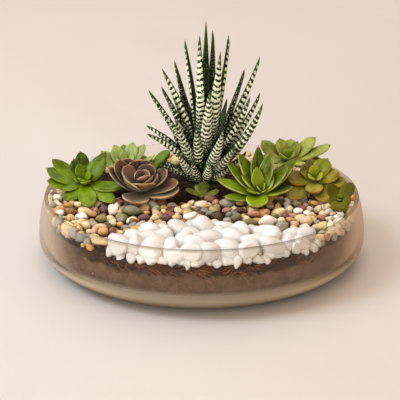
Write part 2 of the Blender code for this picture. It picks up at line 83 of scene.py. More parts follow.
# The bowl and its fill, as in the part's source.
BOWL_RADIUS = 125.0
BOWL_HEIGHT = 52.0
BOWL_FOOT_RADIUS = 92.0
BOWL_BELLY_HEIGHT = 20.0
BOWL_RIM_RADIUS = 119.5
BOWL_WALL = 2.8
BOWL_FLOOR = 5.0
BOWL_LIP = 1.4
SOIL_SHARE = 0.72
SOIL_MOUND = 3.0
STONE_WALL_GAP = 0.25
DRIFT_CENTRE = (15, -112)
DRIFT_HALF_SIZE = (82, 48)
DRIFT_POWER = 3.0
DRIFT_LOBE_CENTRE = (2, -78)
DRIFT_LOBE_HALF_SIZE = (27, 24)
BARE_CENTRE = (0, 42)
BARE_HALF_SIZE = (93, 52)
STEM_HOLE_DEPTH = 10.0
BOWL_SIDES = 128
SOIL_SIDES = 160
SOIL_RINGS = 46
WALL_STEPS = 10
LIP_STEPS = 8
CURVE_STEPS = 14
CURVE = [1 - math.cos(math.pi / 2 * step / CURVE_STEPS) for step in range(CURVE_STEPS + 1)]

# Display colours from 0 to 255 of the glass: its wall at the left and at the right, its foot in the middle,
# at the sides and at its bottom, and its lip. The right wall's colour is painted light on the side in the
# key's shadow. The foot's colours are painted light for the light carried through the thick glass, darker at
# the bottom as painted shade, and the lip's grey is painted shade for its rounded edge.
GLASS_LEFT = (212, 193, 174)
GLASS_RIGHT_PAINTED_LIGHT = (230, 202, 176)
GLASS_FOOT_PAINTED_LIGHT = (164, 150, 131)
GLASS_FOOT_SIDES_PAINTED_LIGHT = (196, 182, 158)
GLASS_BOTTOM_PAINTED_SHADE = (100, 86, 64)
GLASS_LIP_PAINTED_SHADE = (120, 108, 84)

# Colours of the soil: loose and pressed against the glass, each dark and light, dark and rusty under the
# drift, where it is damp and in painted shade under the stones, and specks.
LOOSE_SOIL = ((26, 16, 10), (58, 38, 24))
PRESSED_SOIL = ((96, 76, 60), (122, 99, 80))
DAMP_AND_SHADED_SOIL = ((26, 14, 5), (84, 48, 16))
SOIL_SPECK = (134, 104, 74)

# A kind of leaf: share of the width at its root, where it is widest, how its end closes, thickness and rise
# of the edges as shares of its half width, and how blunt the edges are.
Form = namedtuple("Form", "root widest end thick cup edge")
SPOON = Form(0.45, 0.60, (2.1, 0.70), 0.34, 0.15, 1.0)
PETAL = Form(0.45, 0.60, (2.6, 0.55), 0.17, 0.30, 0.6)
PADDLE = Form(0.45, 0.62, (2.4, 0.60), 0.34, 0.15, 1.0)
LANCE = Form(0.55, 0.46, (1.7, 0.82), 0.36, 0.24, 1.0)
BEAN = Form(0.55, 0.58, (2.4, 0.50), 0.50, 0.08, 0.9)
SPEAR = Form(0.80, 0.25, (1.5, 0.85), 0.55, 0.05, 1.0)

# A leaf: azimuth, tilt, length, width, and its own curl. On the tall plant also the share of pearls among
# its bands and its twist in radians.
Leaf = namedtuple("Leaf", "azimuth tilt length width curl pearls twist", defaults=(None, 0.0, None))

# A plant's heart, lean to the front, radius of stem and head, how far the inner leaf roots rise, the outer
# ones sink and both spread, form and curl of its leaves, and the leaves from the outside to the heart.
Plant = namedtuple("Plant", "heart lean stem head rise sink spread form curl leaves")
PLANTS = {
    "rosette_left_green": Plant((-91, 8, 54.5), 22, 4.0, 5.5, 3.0, 1, 2.0, SPOON, 7, (
        (162, 14, 31, 15), (144, 17, 32, 12), (180, 6, 28, 13), (113, 20, 23, 12), (98, 22, 28, 12),
        (58, 18, 32, 11), (28, 24, 20, 8), (344, 8, 32, 14), (316, 5, 35, 13), (284, 8, 32, 14),
        (234, -4, 22, 14), (204, 4, 19, 10), (44, 34, 27, 14), (112, 54, 16, 8), (185, 42, 10, 7),
        (300, 46, 10, 9), (20, 60, 12, 7), (240, 66, 8, 8),
    )),
    "rosette_back_pale": Plant((-60, 31, 59), 12, 4.0, 5.0, 3.0, 1, 2.0, SPOON, 10, (
        (150, 22, 24, 11), (122, 38, 21, 11), (73, 34, 23, 12), (47, 30, 25, 11), (18, 16, 25, 6),
        (95, 18, 25, 11), (340, 18, 18, 10), (215, 20, 17, 9), (262, 24, 16, 10), (100, 60, 14, 7),
        (20, 56, 13, 7), (190, 56, 12, 6), (280, 60, 10, 6),
    )),
    "rosette_back_middle": Plant((-42, 36, 52), 5, 3.2, 4.0, 2.5, 0, 1.5, BEAN, 5, (
        (26, 42, 25, 13, -24), (32, 30, 19, 11), (305, 24, 16, 9), (105, 34, 18, 7), (200, 78, 10, 7),
        (255, 40, 11, 8), (80, 62, 13, 8),
    )),
    "rosette_purple": Plant((-46, -3, 56.5), 20, 4.2, 5.5, 2.5, 5, 3.5, PETAL, 14, (
        (172, 31, 29, 12), (152, 36, 27, 15), (257, 9, 24, 21), (336, 9, 31, 20), (352, 13, 29, 15),
        (350, 42, 17, 14), (130, 28, 26, 17), (95, 36, 21, 22), (20, 24, 23, 17), (222, 45, 20, 17),
        (285, 46, 16, 19), (60, 42, 18, 15), (152, 40, 20, 15), (330, 54, 15, 12), (30, 64, 14, 12),
        (305, 72, 14, 11), (140, 76, 14, 10), (235, 70, 10, 9),
    )),
    "haworthia": Plant((1, 27, 49), 0, 6.5, 8.5, 14.0, 0, 5.0, SPEAR, 4, (
        (172, 27, 36, 10, -10, 0.5), (195, 27, 40, 11, -8, 0.8), (215, 50, 38, 10, 4, 0.4),
        (245, 50, 30, 10, 10, 0.3), (285, 50, 30, 10, 10, 0.3), (330, 35, 31, 11, 8, 0.4),
        (10, 34, 42, 11, 8, 0.5), (90, 40, 44, 11, 4, 0.5), (132, 42, 46, 11, 4, 0.5),
        (48, 42, 46, 11, 4, 0.5), (168, 44, 63, 12, -22, 0.3), (190, 44, 61, 12, -20, 0.3),
        (318, 48, 50, 12, 10, 0.4), (300, 59, 61, 12, 10, 0.2), (222, 64, 65, 11, 4, 0.5),
        (250, 74, 52, 12, 8, 0.2), (160, 59, 74, 11, -4, 0.8), (180, 61, 86, 12, -6, 0.9, 0.5),
        (8, 58, 84, 12, 10, 0.1), (335, 55, 87, 12, 18, 0.2), (350, 63, 81, 12, 8, 0.2),
        (108, 56, 66, 12, 4, 0.5), (60, 57, 70, 12, 4, 0.5), (190, 68, 86, 12, -6, 1.0, 0.4),
        (175, 71, 97, 12, -8, 0.1, 1.1), (140, 73, 98, 12, -3, 0.6, 0.1), (10, 66, 109, 12, 6),
        (20, 69, 95, 12, 4, 0.8, -0.2), (285, 76, 84, 13, 4, 0.3), (150, 82, 114, 12, -3, 0, 0.25),
        (320, 81, 110, 13, 4, 0.2), (30, 79, 118, 12, 4, 0, -0.4), (60, 83, 120, 12, 4, 0.5, -0.3),
        (235, 88, 119, 13, 1, 0, -0.2), (75, 86, 128, 10, 2, 0.2, 0.1),
    )),
    "rosette_right_green": Plant((45, -12, 53.5), 20, 4.4, 5.5, 4.0, 1, 2.0, LANCE, 9, (
        (169, 16, 36, 12), (191, 4, 29, 12), (143, 26, 36, 12), (125, 35, 36, 13), (94, 43, 37, 13),
        (42, 22, 41, 13), (8, 10, 25, 13), (251, 14, 23, 17), (108, 24, 27, 10), (70, 22, 28, 11),
        (32, 36, 30, 12), (62, 58, 34, 12), (156, 39, 21, 10), (215, 38, 17, 9), (36, 46, 17, 10),
        (114, 66, 22, 10), (310, 54, 8, 6), (200, 68, 10, 6), (20, 76, 11, 6),
    )),
    "rosette_back_right": Plant((68, 37, 62), 12, 4.2, 5.0, 3.0, 1, 2.0, PADDLE, 6, (
        (144, 24, 27, 16), (115, 42, 20, 12), (53, 44, 18, 10), (29, 32, 29, 12), (10, 20, 36, 12),
        (352, 6, 28, 12), (180, 18, 20, 12), (250, 16, 18, 12), (312, 16, 18, 11), (82, 16, 25, 13),
        (95, 70, 11, 8), (335, 60, 12, 8), (220, 52, 13, 9),
    )),
    "rosette_olive": Plant((87, 6, 57.5), 25, 3.8, 4.6, 3.0, 1, 2.0, SPOON, 4, (
        (218, -2, 28, 14), (289, 0, 24, 12), (351, 6, 24, 14), (95, 14, 20, 14), (265, 16, 19, 14),
        (178, 10, 22, 15), (4, 20, 20, 14), (134, 32, 16, 14), (55, 30, 20, 15), (100, 64, 13, 9),
        (335, 56, 11, 8), (220, 56, 11, 8),
    )),
    "rosette_far_right": Plant((103, -26, 53), 35, 2.6, 3.2, 1.5, 0, 1.0, SPOON, 3, (
        (127, 26, 15, 11), (47, 26, 17, 11), (340, 26, 10, 10), (266, 20, 12, 14), (200, 16, 9, 9),
        (80, 66, 6, 5), (260, 70, 5, 4),
    )),
    "sprig": Plant((1, 4, 46), 15, 2.2, 2.8, 1.0, 0, 0.6, BEAN, 2, (
        (187, 30, 15, 5), (350, 27, 14, 6), (84, 50, 11, 9), (262, 26, 4, 4), (130, 30, 10, 5),
    )),
}

# A plant's display colours, light and dark, at the roots, when young, at edge and tip and on the back, and
# the finish of its leaves: roughness, coat, strength of the edge's colour, where the edge starts, and bloom.
# The pale edge is partly the margin's own colour and partly a painted highlight along the curved margin.
LeafLook = namedtuple("LeafLook", "light dark root young edge tip back gloss coat rim margin bloom")
LEAF_LOOKS = {
    "rosette_left_green": LeafLook(
        (130, 160, 12), (13, 33, 0), (98, 126, 4), (114, 146, 12),
        (168, 192, 70), (104, 72, 40), (62, 92, 10), 0.32, 0.12, 0.4, 0.87, 0.0,
    ),
    "rosette_back_pale": LeafLook(
        (206, 220, 140), (120, 142, 58), (176, 196, 88), (158, 184, 80),
        (196, 204, 146), (120, 112, 66), (96, 122, 44), 0.46, 0.05, 0.5, 0.88, 0.35,
    ),
    "rosette_back_middle": LeafLook(
        (138, 166, 56), (84, 114, 22), (140, 166, 58), (124, 158, 52),
        (136, 162, 80), (112, 142, 104), (66, 96, 20), 0.32, 0.08, 0.4, 0.9, 0.1,
    ),
    "rosette_purple": LeafLook(
        (144, 110, 80), (52, 28, 18), (112, 100, 44), (192, 146, 142),
        (232, 204, 152), (196, 152, 104), (110, 82, 44), 0.34, 0.08, 0.75, 0.91, 0.25,
    ),
    "rosette_right_green": LeafLook(
        (142, 170, 16), (14, 32, 0), (150, 176, 12), (128, 154, 14),
        (208, 218, 122), (164, 92, 44), (54, 84, 6), 0.28, 0.3, 0.6, 0.85, 0.0,
    ),
    "rosette_back_right": LeafLook(
        (210, 218, 102), (108, 124, 34), (176, 190, 62), (156, 180, 44),
        (184, 192, 116), (104, 96, 50), (88, 104, 34), 0.36, 0.1, 0.5, 0.88, 0.15,
    ),
    "rosette_olive": LeafLook(
        (168, 160, 42), (52, 44, 4), (144, 148, 24), (172, 192, 20),
        (176, 128, 60), (140, 84, 44), (124, 96, 32), 0.30, 0.12, 0.75, 0.9, 0.1,
    ),
    "rosette_far_right": LeafLook(
        (108, 104, 8), (74, 72, 4), (126, 132, 24), (140, 150, 50),
        (138, 136, 46), (112, 88, 40), (76, 82, 10), 0.42, 0.02, 0.5, 0.92, 0.0,
    ),
    "sprig": LeafLook(
        (146, 150, 62), (64, 72, 14), (112, 118, 30), (150, 158, 70),
        (156, 168, 96), (110, 100, 54), (56, 68, 14), 0.46, 0.02, 0.5, 0.88, 0.1,
    ),
}
STEM_COLOUR = (92, 88, 52)
LEAF_SIDES = 20
LEAF_RINGS = 22
STEM_SIDES = 16

# The tall plant: period of its bands at the root and higher up, how far a band stands out, how far it swings
# up and down across the leaf, how far a side leaf turns its banded back to the front, and its colours. The
# white of its bands turns to a painted shade near the root.
BAND_NEAR = 1.8
BAND_FAR = 5.4
BAND_RISE = 0.32
BAND_SWING = 0.85
SPEAR_SIDES = 22
SPEAR_TURN = 0.80
SPEAR_SLIM = 0.84
SPEAR_GREEN = (11, 31, 0)
SPEAR_PALE_GREEN = (42, 72, 10)
SPEAR_TIP = (60, 84, 26)
SPEAR_WHITE = (242, 250, 222)
SPEAR_BAND_PAINTED_SHADE = (110, 134, 66)
SPEAR_STEM = (96, 108, 50)

# A kind of stone: how finely its ball is divided, how many planes cut it, how sharp its edges are and how
# far its corners reach, ranges of its length and height, how far it tips, how much it swells, and how deep
# its foot may lie under the soil's edge.
StoneShape = namedtuple("StoneShape", "cells planes sharpness corner long flat tip swell sunk")
WHITE_SHAPE = StoneShape(7, 13, 4.0, 1.13, (1.0, 1.30), (0.74, 0.94), 0.45, 1.24, 2.6)
GRAVEL_SHAPE = StoneShape(4, 11, 6.0, 1.25, (1.0, 1.35), (0.66, 0.90), 0.40, 1.15, 2.0)
CRUMB_SHAPE = StoneShape(2, 5, 8.0, 1.3, (1.0, 1.7), (0.5, 0.9), 0.6, 1.0, 99)
STONE_SEED = 5
DEBRIS_SEED = 21

# Layers of stones: lowest and highest radius, the most common one or None if all are as common, and the box
# where they are laid, as lowest and highest x, then y. Then the levels that their tops stay under.
Layer = namedtuple("Layer", "small large common box")
WHITE_BED = Layer(2.8, 4.8, None, (-75, 102, -118, -46))
WHITE_LARGE = Layer(5.6, 8.8, 7.1, (-75, 102, -118, -46))
GRAVEL_LARGE = Layer(2.5, 6.0, 4.1, (-118, 118, -118, 118))
GRAVEL_LOW = Layer(1.7, 2.5, None, (-112, 112, -80, 20))
WHITE_BED_TOP = 43.5
WHITE_TOP = 48.0
GRAVEL_TOP = 46.6
GRAVEL_BACK_TOP = 44.6
LOW_GRAVEL_TOP = 43.0

# Colours of stones, with how often each comes up in the gravel. Light ones come up more often beyond the
# side edge, and beyond the back edge only those of the back. The low small stones are real stones, but their
# colours come only from a short, mostly dark list, so that they stand in for the shade in the gaps between
# the large ones: painted shade.
STONES = {
    "cream": ((242, 220, 172), 14), "pale": ((244, 232, 206), 9), "white": ((252, 250, 244), 4),
    "beige": ((208, 182, 138), 12), "ochre": ((222, 172, 94), 7), "orange": ((218, 166, 118), 4),
    "peach": ((232, 196, 166), 4), "salmon": ((204, 144, 122), 5), "red": ((158, 100, 80), 4),
    "maroon": ((118, 84, 76), 7), "brown": ((134, 98, 72), 11), "dark": ((78, 58, 48), 6),
    "olive": ((154, 146, 96), 4), "moss": ((134, 132, 104), 4), "grey": ((174, 168, 154), 6),
    "slate": ((150, 152, 146), 4), "lilac": ((206, 192, 184), 3),
}
WHITE_COLOUR = (228, 229, 231)
BACK_EDGE = 58
SIDE_EDGE = 58
SIDE_WEIGHT = 4.0
BACK_STONES = ("cream", "pale", "beige", "ochre", "peach", "grey")
LOW_STONES_FOR_SHADE = ("brown", "dark", "maroon", "olive", "ochre", "slate")
SIDE_STONES = ("cream", "pale", "white", "peach")

# Stones that stand out in the photograph: colour, centre across and down, width and height, all in its
# pixels.
CHOSEN_STONES = (
    ("white", 58, 198, 9, 9), ("grey", 54, 206, 8, 8), ("white", 60, 213, 8, 6), ("cream", 64, 218, 9, 5),
    ("ochre", 67, 205, 8, 5), ("red", 72, 212, 8, 9), ("cream", 78, 205, 8, 7), ("white", 83, 217, 10, 10),
    ("ochre", 69, 220, 5, 8), ("ochre", 77, 226, 7, 6), ("cream", 86, 226, 10, 10),
    ("orange", 92, 214, 10, 6), ("salmon", 96, 210, 5, 5), ("maroon", 104, 210, 10, 8),
    ("olive", 101, 219, 12, 9), ("white", 113, 213, 10, 16), ("pale", 113, 223, 9, 6),
    ("peach", 96, 231, 12, 12), ("orange", 103, 233, 11, 11), ("red", 112, 231, 8, 8),
    ("slate", 121, 220, 8, 7), ("moss", 132, 212, 19, 12), ("white", 129, 221, 6, 6),
    ("brown", 134, 222, 9, 8), ("maroon", 145, 218, 12, 8), ("ochre", 147, 213, 7, 5),
    ("grey", 156, 209, 10, 7), ("cream", 155, 218, 11, 10), ("maroon", 166, 218, 10, 8),
    ("cream", 176, 218, 9, 7), ("cream", 179, 211, 10, 9), ("cream", 186, 208, 11, 10),
    ("cream", 172, 228, 7, 6), ("dark", 153, 225, 9, 5), ("pale", 163, 224, 7, 6), ("brown", 210, 199, 13, 9),
    ("ochre", 206, 207, 8, 5), ("salmon", 216, 203, 8, 8), ("grey", 227, 204, 17, 12),
    ("salmon", 227, 210, 11, 5), ("ochre", 240, 203, 9, 5), ("maroon", 239, 210, 12, 6),
    ("slate", 229, 215, 8, 8), ("moss", 236, 218, 13, 9), ("salmon", 254, 214, 14, 7),
    ("olive", 249, 222, 17, 8), ("moss", 270, 207, 8, 6), ("olive", 275, 216, 8, 7),
    ("maroon", 285, 217, 10, 10), ("orange", 291, 220, 11, 6), ("pale", 289, 210, 9, 9),
    ("lilac", 287, 204, 8, 6), ("moss", 297, 204, 10, 8), ("white", 298, 212, 10, 9),
    ("ochre", 314, 203, 10, 5), ("cream", 319, 209, 8, 8), ("lilac", 310, 209, 9, 6),
    ("white", 307, 214, 8, 7), ("peach", 306, 222, 14, 13), ("salmon", 321, 218, 9, 8),
    ("peach", 333, 214, 7, 6), ("white", 340, 214, 9, 9), ("pale", 330, 219, 10, 6),
    ("cream", 318, 227, 13, 7), ("slate", 82, 238, 15, 10), ("cream", 100, 241, 20, 9),
    ("ochre", 90, 248, 9, 9), ("orange", 83, 245, 5, 5), ("salmon", 327, 237, 7, 9), ("grey", 334, 237, 8, 9),
    ("grey", 345, 229, 13, 9), ("pale", 351, 219, 8, 8), ("white", 268, 222, 21, 13),
)
STONE_LEVEL = 45.5

# Dry twigs: centre across and down in the photograph's pixels, direction in radians, length in millimetres.
TWIGS = ((117, 202, 0.3, 6.0), (126, 201, 0.1, 5.0), (57, 190, 1.2, 8.0))
TWIG_RADIUS = 0.42
THREAD_SIDES = 5
CRUMB_COUNT = 900
CRUMB_REACH = 112
SPECK_COUNT = 150
ROOT_COUNT = 150
CRUMB_COLOURS = ((52, 36, 24), (74, 52, 34), (96, 70, 46), (62, 42, 28), (122, 92, 60), (40, 28, 20))
SPECK_COLOURS = ((232, 222, 200), (196, 172, 136), (150, 112, 70), (168, 140, 104))
ROOT_COLOURS = ((156, 96, 36), (190, 130, 62), (104, 64, 28))
TWIG_COLOUR = (206, 186, 150)


def srgb(colour):
    """A display colour from 0 to 255 as the linear colour that shaders take."""
    shares = [value / 255 for value in colour]
    return [share / 12.92 if share <= 0.04045 else ((share + 0.055) / 1.055) ** 2.4 for share in shares]


class Value:
    """What comes out of a shader node. Sums with it make new nodes."""

    def __init__(self, paint, socket):
        self.paint, self.socket = paint, socket

    def __add__(self, other):
        return self.paint.math("ADD", self, other)

    def __radd__(self, other):
        return self.paint.math("ADD", other, self)

    def __sub__(self, other):
        return self.paint.math("SUBTRACT", self, other)

    def __rsub__(self, other):
        return self.paint.math("SUBTRACT", other, self)

    def __mul__(self, other):
        return self.paint.math("MULTIPLY", self, other)

    def __pow__(self, other):
        return self.paint.math("POWER", self, other)

    def __abs__(self):
        return self.paint.math("ABSOLUTE", self)

    def smooth(self, low, high):
        """0 where the value is under low, 1 over high, and a soft step between them."""
        inputs = {"Value": self, "From Min": low, "From Max": high, "To Min": 0.0, "To Max": 1.0}
        return self.paint.node("MapRange", 0, inputs, interpolation_type="SMOOTHSTEP")


class Paint:
    """One procedural material: short names for adding nodes round its Principled shader."""

    def __init__(self, name, sockets):
        self.material = bpy.data.materials.new(name)
        self.material.use_nodes = True
        self.tree = self.material.node_tree
        self.shader = self.tree.nodes["Principled BSDF"]
        self.feed(self.shader, sockets)

    def feed(self, node, inputs):
        for key, value in inputs.items():
            if isinstance(value, Value):
                self.tree.links.new(value.socket, node.inputs[key])
            else:
                node.inputs[key].default_value = value

    def node(self, kind, output, inputs, **settings):
        """One output of a new node."""
        made = self.tree.nodes.new("ShaderNode" + kind)
        for key, value in settings.items():
            setattr(made, key, value)
        self.feed(made, inputs)
        return Value(self, made.outputs[output])

    def math(self, operation, *values, kind="Math"):
        return self.node(kind, 0, dict(enumerate(values)), operation=operation)

    def mix(self, factor, first, second, blend="MIX"):
        """Two colours mixed: each a value, a display colour of three numbers or a linear one of four."""
        inputs = {0: factor, 6: first, 7: second}
        for key, side in inputs.items():
            if isinstance(side, tuple) and len(side) == 3:
                inputs[key] = (*srgb(side), 1)
        return self.node("Mix", 2, inputs, data_type="RGBA", blend_type=blend)

    def times(self, colour, shares):
        return self.mix(1.0, colour, (*shares, 1), "MULTIPLY")

    def noise(self, vector, scale, detail=2.0, roughness=0.5):
        inputs = {"Vector": vector, "Scale": scale, "Detail": detail, "Roughness": roughness}
        return self.node("TexNoise", "Fac", inputs)

    def dots(self, vector, scale):
        """Distance to the nearest of many scattered points."""
        return self.node("TexVoronoi", "Distance", {"Vector": vector, "Scale": scale})

    def attribute(self, name, output):
        return self.node("Attribute", output, {}, attribute_name=name)

    def split(self, vector):
        first = self.node("SeparateXYZ", 0, {0: vector})
        return [Value(self, socket) for socket in first.socket.node.outputs]

    def join(self, *parts):
        return self.node("CombineXYZ", 0, dict(enumerate(parts)))

    def place(self):
        return self.node("TexCoord", "Object", {})

    def painted_crevice_shade(self, base, reach, shade_tint, clear):
        """Painted shade: the base colour, times the shade tint where other parts of the same object stand
        close round it, as an ambient occlusion node finds them. From the clear share of open sky on it is the
        base colour alone."""
        sky = self.node("AmbientOcclusion", "AO", {"Distance": reach}, samples=8, only_local=True)
        return self.mix(sky.smooth(0.05, clear), self.times(base, shade_tint), base)

    def finish(self, colour, height, strength, distance):
        """Gives the shader its colour and the bumps of a height."""
        inputs = {"Height": height, "Strength": strength, "Distance": distance}
        self.feed(self.shader, {"Base Color": colour, "Normal": self.node("Bump", 0, inputs)})
        return self


def add_object(name, data):
    made = bpy.data.objects.new(name, data)
    bpy.context.scene.collection.objects.link(made)
    return made


def mesh_object(name, points, faces, paint, attributes=None):
    """A mesh object from points in millimetres, with a colour or a vector on each point."""
    mesh = bpy.data.meshes.new(name)
    mesh.from_pydata(np.asarray(points, float) * MM, [], faces)
    for key, values in (attributes or {}).items():
        kind, field = ("FLOAT_COLOR", "color") if len(values[0]) == 4 else ("FLOAT_VECTOR", "vector")
        made = mesh.attributes.new(key, kind, "POINT")
        made.data.foreach_set(field, np.asarray(values, np.float32).ravel())
    mesh.validate()
    mesh.shade_smooth()
    mesh.materials.append(paint.material)
    return add_object(name, mesh)


def clamp(value):
    return min(1.0, max(0.0, value))


def outer_radius(height):
    if height < BOWL_BELLY_HEIGHT:
        drop = 1 - height / BOWL_BELLY_HEIGHT
        return BOWL_FOOT_RADIUS + (BOWL_RADIUS - BOWL_FOOT_RADIUS) * math.sqrt(max(0.0, 1 - drop * drop))
    rise = (height - BOWL_BELLY_HEIGHT) / (BOWL_HEIGHT - BOWL_BELLY_HEIGHT)
    return BOWL_RADIUS - (BOWL_RADIUS - BOWL_RIM_RADIUS) * rise * rise


def wall_height(share):
    return BOWL_FLOOR + (BOWL_HEIGHT - BOWL_FLOOR) * share


def inner_radius(height):
    share = (height - BOWL_FLOOR) / (BOWL_HEIGHT - BOWL_FLOOR)
    return outer_radius(max(0.0, share) * BOWL_HEIGHT) - BOWL_WALL


def soil_top(radius):
    return wall_height(SOIL_SHARE) + SOIL_MOUND * (1 - (radius / BOWL_RADIUS) ** 2)


def oval_depth(x, y, centre, half_size, power=2.0):
    """About how far the point lies inside the oval, or outside if negative. Over 2 the oval is squarer."""
    across = abs(x - centre[0]) / half_size[0]
    along = abs(y - centre[1]) / half_size[1]
    slope = power * math.hypot(across ** (power - 1) / half_size[0], along ** (power - 1) / half_size[1])
    return (1 - across ** power - along ** power) / max(slope, 1e-6)


def photo_point(across, down, level):
    """The place on a level that the photograph shows at a pixel of its 400 by 400."""
    side = (across / PHOTO_SIZE - 0.5 + CAMERA_SHIFT[0]) * SENSOR / CAMERA_LENS
    rise = (0.5 - down / PHOTO_SIZE + CAMERA_SHIFT[1]) * SENSOR / CAMERA_LENS
    cosine, sine = math.cos(CAMERA_TILT), math.sin(CAMERA_TILT)
    step = Vector((side, cosine + rise * sine, rise * cosine - sine))
    start = Vector((0, -cosine * CAMERA_DISTANCE, CAMERA_AIM + sine * CAMERA_DISTANCE)) / MM
    spot = start + step * ((level - start.z) / step.z)
    return spot.x, spot.y


def circle(sides, start=0):
    """Cosine and sine of directions all round, from the start's share of a step on."""
    turns = [math.tau * (side + start) / sides for side in range(sides)]
    return [(math.cos(turn), math.sin(turn)) for turn in turns]


def lathe(profile, sides):
    """A closed turned shape from (radius, height) points that run from the axis round the outside to it."""
    points, faces, rings = [], [], []
    for radius, height in profile:
        turns = circle(sides) if radius else [(0, 0)]
        rings.append([len(points) + side % len(turns) for side in range(sides + 1)])
        points.extend((radius * cosine, radius * sine, height) for cosine, sine in turns)
    for low, high in zip(rings, rings[1:]):
        for side in range(sides):
            face = [low[side], low[side + 1], high[side + 1], high[side]]
            faces.append([corner for place, corner in enumerate(face) if corner not in face[:place]])
    return points, faces


def ring_faces(first, sides, rings):
    """Faces between rings of points that follow each other from the first point on."""
    faces = []
    for low in range(first, first + (rings - 1) * sides, sides):
        for side in range(sides):
            after = (side + 1) % sides
            faces.append((low + side, low + after, low + sides + after, low + sides + side))
    return faces


# Camera, floor and light.

def make_camera():
    camera = bpy.data.cameras.new("camera")
    camera.sensor_width = SENSOR
    camera.lens = CAMERA_LENS
    camera.shift_x, camera.shift_y = CAMERA_SHIFT
    camera.clip_start = 0.01
    camera.clip_end = 50
    made = add_object("camera", camera)
    back = Vector((0, -math.cos(CAMERA_TILT), math.sin(CAMERA_TILT))) * CAMERA_DISTANCE
    made.location = Vector((0, 0, CAMERA_AIM)) + back
    made.rotation_euler = (-back).to_track_quat("-Z", "Y").to_euler()
    bpy.context.scene.camera = made


def floor_paint():
    paint = Paint("floor_cloth", {"Roughness": 0.95, "Specular IOR Level": 0.1})
    spot = paint.place()
    tone = paint.noise(spot, 3.0, 3.0)
    grain = paint.noise(spot, 900.0, 2.0, 0.7)
    base = paint.mix(tone, CLOTH_LIGHT, CLOTH_DARK)
    return paint.finish(paint.mix(grain * 0.12, base, CLOTH_GRAIN), grain, 0.25, 0.0006)


def make_floor():
    """A pale cloth that lies in soft low folds round the bowl and flat under it."""
    paint = floor_paint()
    points, faces = [], []
    for row, column in itertools.product(range(FLOOR_CELLS + 1), repeat=2):
        x = FLOOR_HALF * (2 * column / FLOOR_CELLS - 1)
        y = FLOOR_HALF * (2 * row / FLOOR_CELLS - 1)
        folds = noise.noise(Vector((x * 5 + y * 2.5, y * 1.6 - x * 1.2, 3.1)))
        soft = noise.noise(Vector((x * 2.2, y * 3.1, 7.7)))
        lift = (FOLD_HEIGHT * abs(folds) + WAVE_HEIGHT * soft) * clamp((math.hypot(x, y) - 0.15) / 0.2)
        edge = min(1, (FLOOR_HALF - max(abs(x), abs(y))) / 0.3)
        points.append((x / MM, y / MM, lift * edge / MM + FLOOR_LEVEL))
    for row, column in itertools.product(range(FLOOR_CELLS), repeat=2):
        corner = row * (FLOOR_CELLS + 1) + column
        faces.append((corner, corner + 1, corner + FLOOR_CELLS + 2, corner + FLOOR_CELLS + 1))
    floor = mesh_object("floor", points, faces, paint)
    corners = [(x * FAR_HALF, y * FAR_HALF, FAR_LEVEL) for x, y in ((-1, -1), (1, -1), (1, 1), (-1, 1))]
    wide = mesh_object("floor_beyond", corners, [(0, 1, 2, 3)], paint)


def make_light():
    world = bpy.data.worlds.new("studio")
    world.use_nodes = True
    background = world.node_tree.nodes["Background"]
    background.inputs["Color"].default_value = WORLD_COLOUR
    background.inputs["Strength"].default_value = WORLD_STRENGTH
    bpy.context.scene.world = world
    bpy.context.scene.view_settings.view_transform = "Standard"
    for name, (place, aim, size, power, colour) in LIGHTS.items():
        light = bpy.data.lights.new(name, "AREA")
        light.shape = "RECTANGLE"
        light.size, light.size_y = size
        light.energy = power
        light.color = colour
        made = add_object(name, light)
        made.location = place
        made.rotation_euler = (Vector(aim) - Vector(place)).to_track_quat("-Z", "Y").to_euler()


# The bowl.

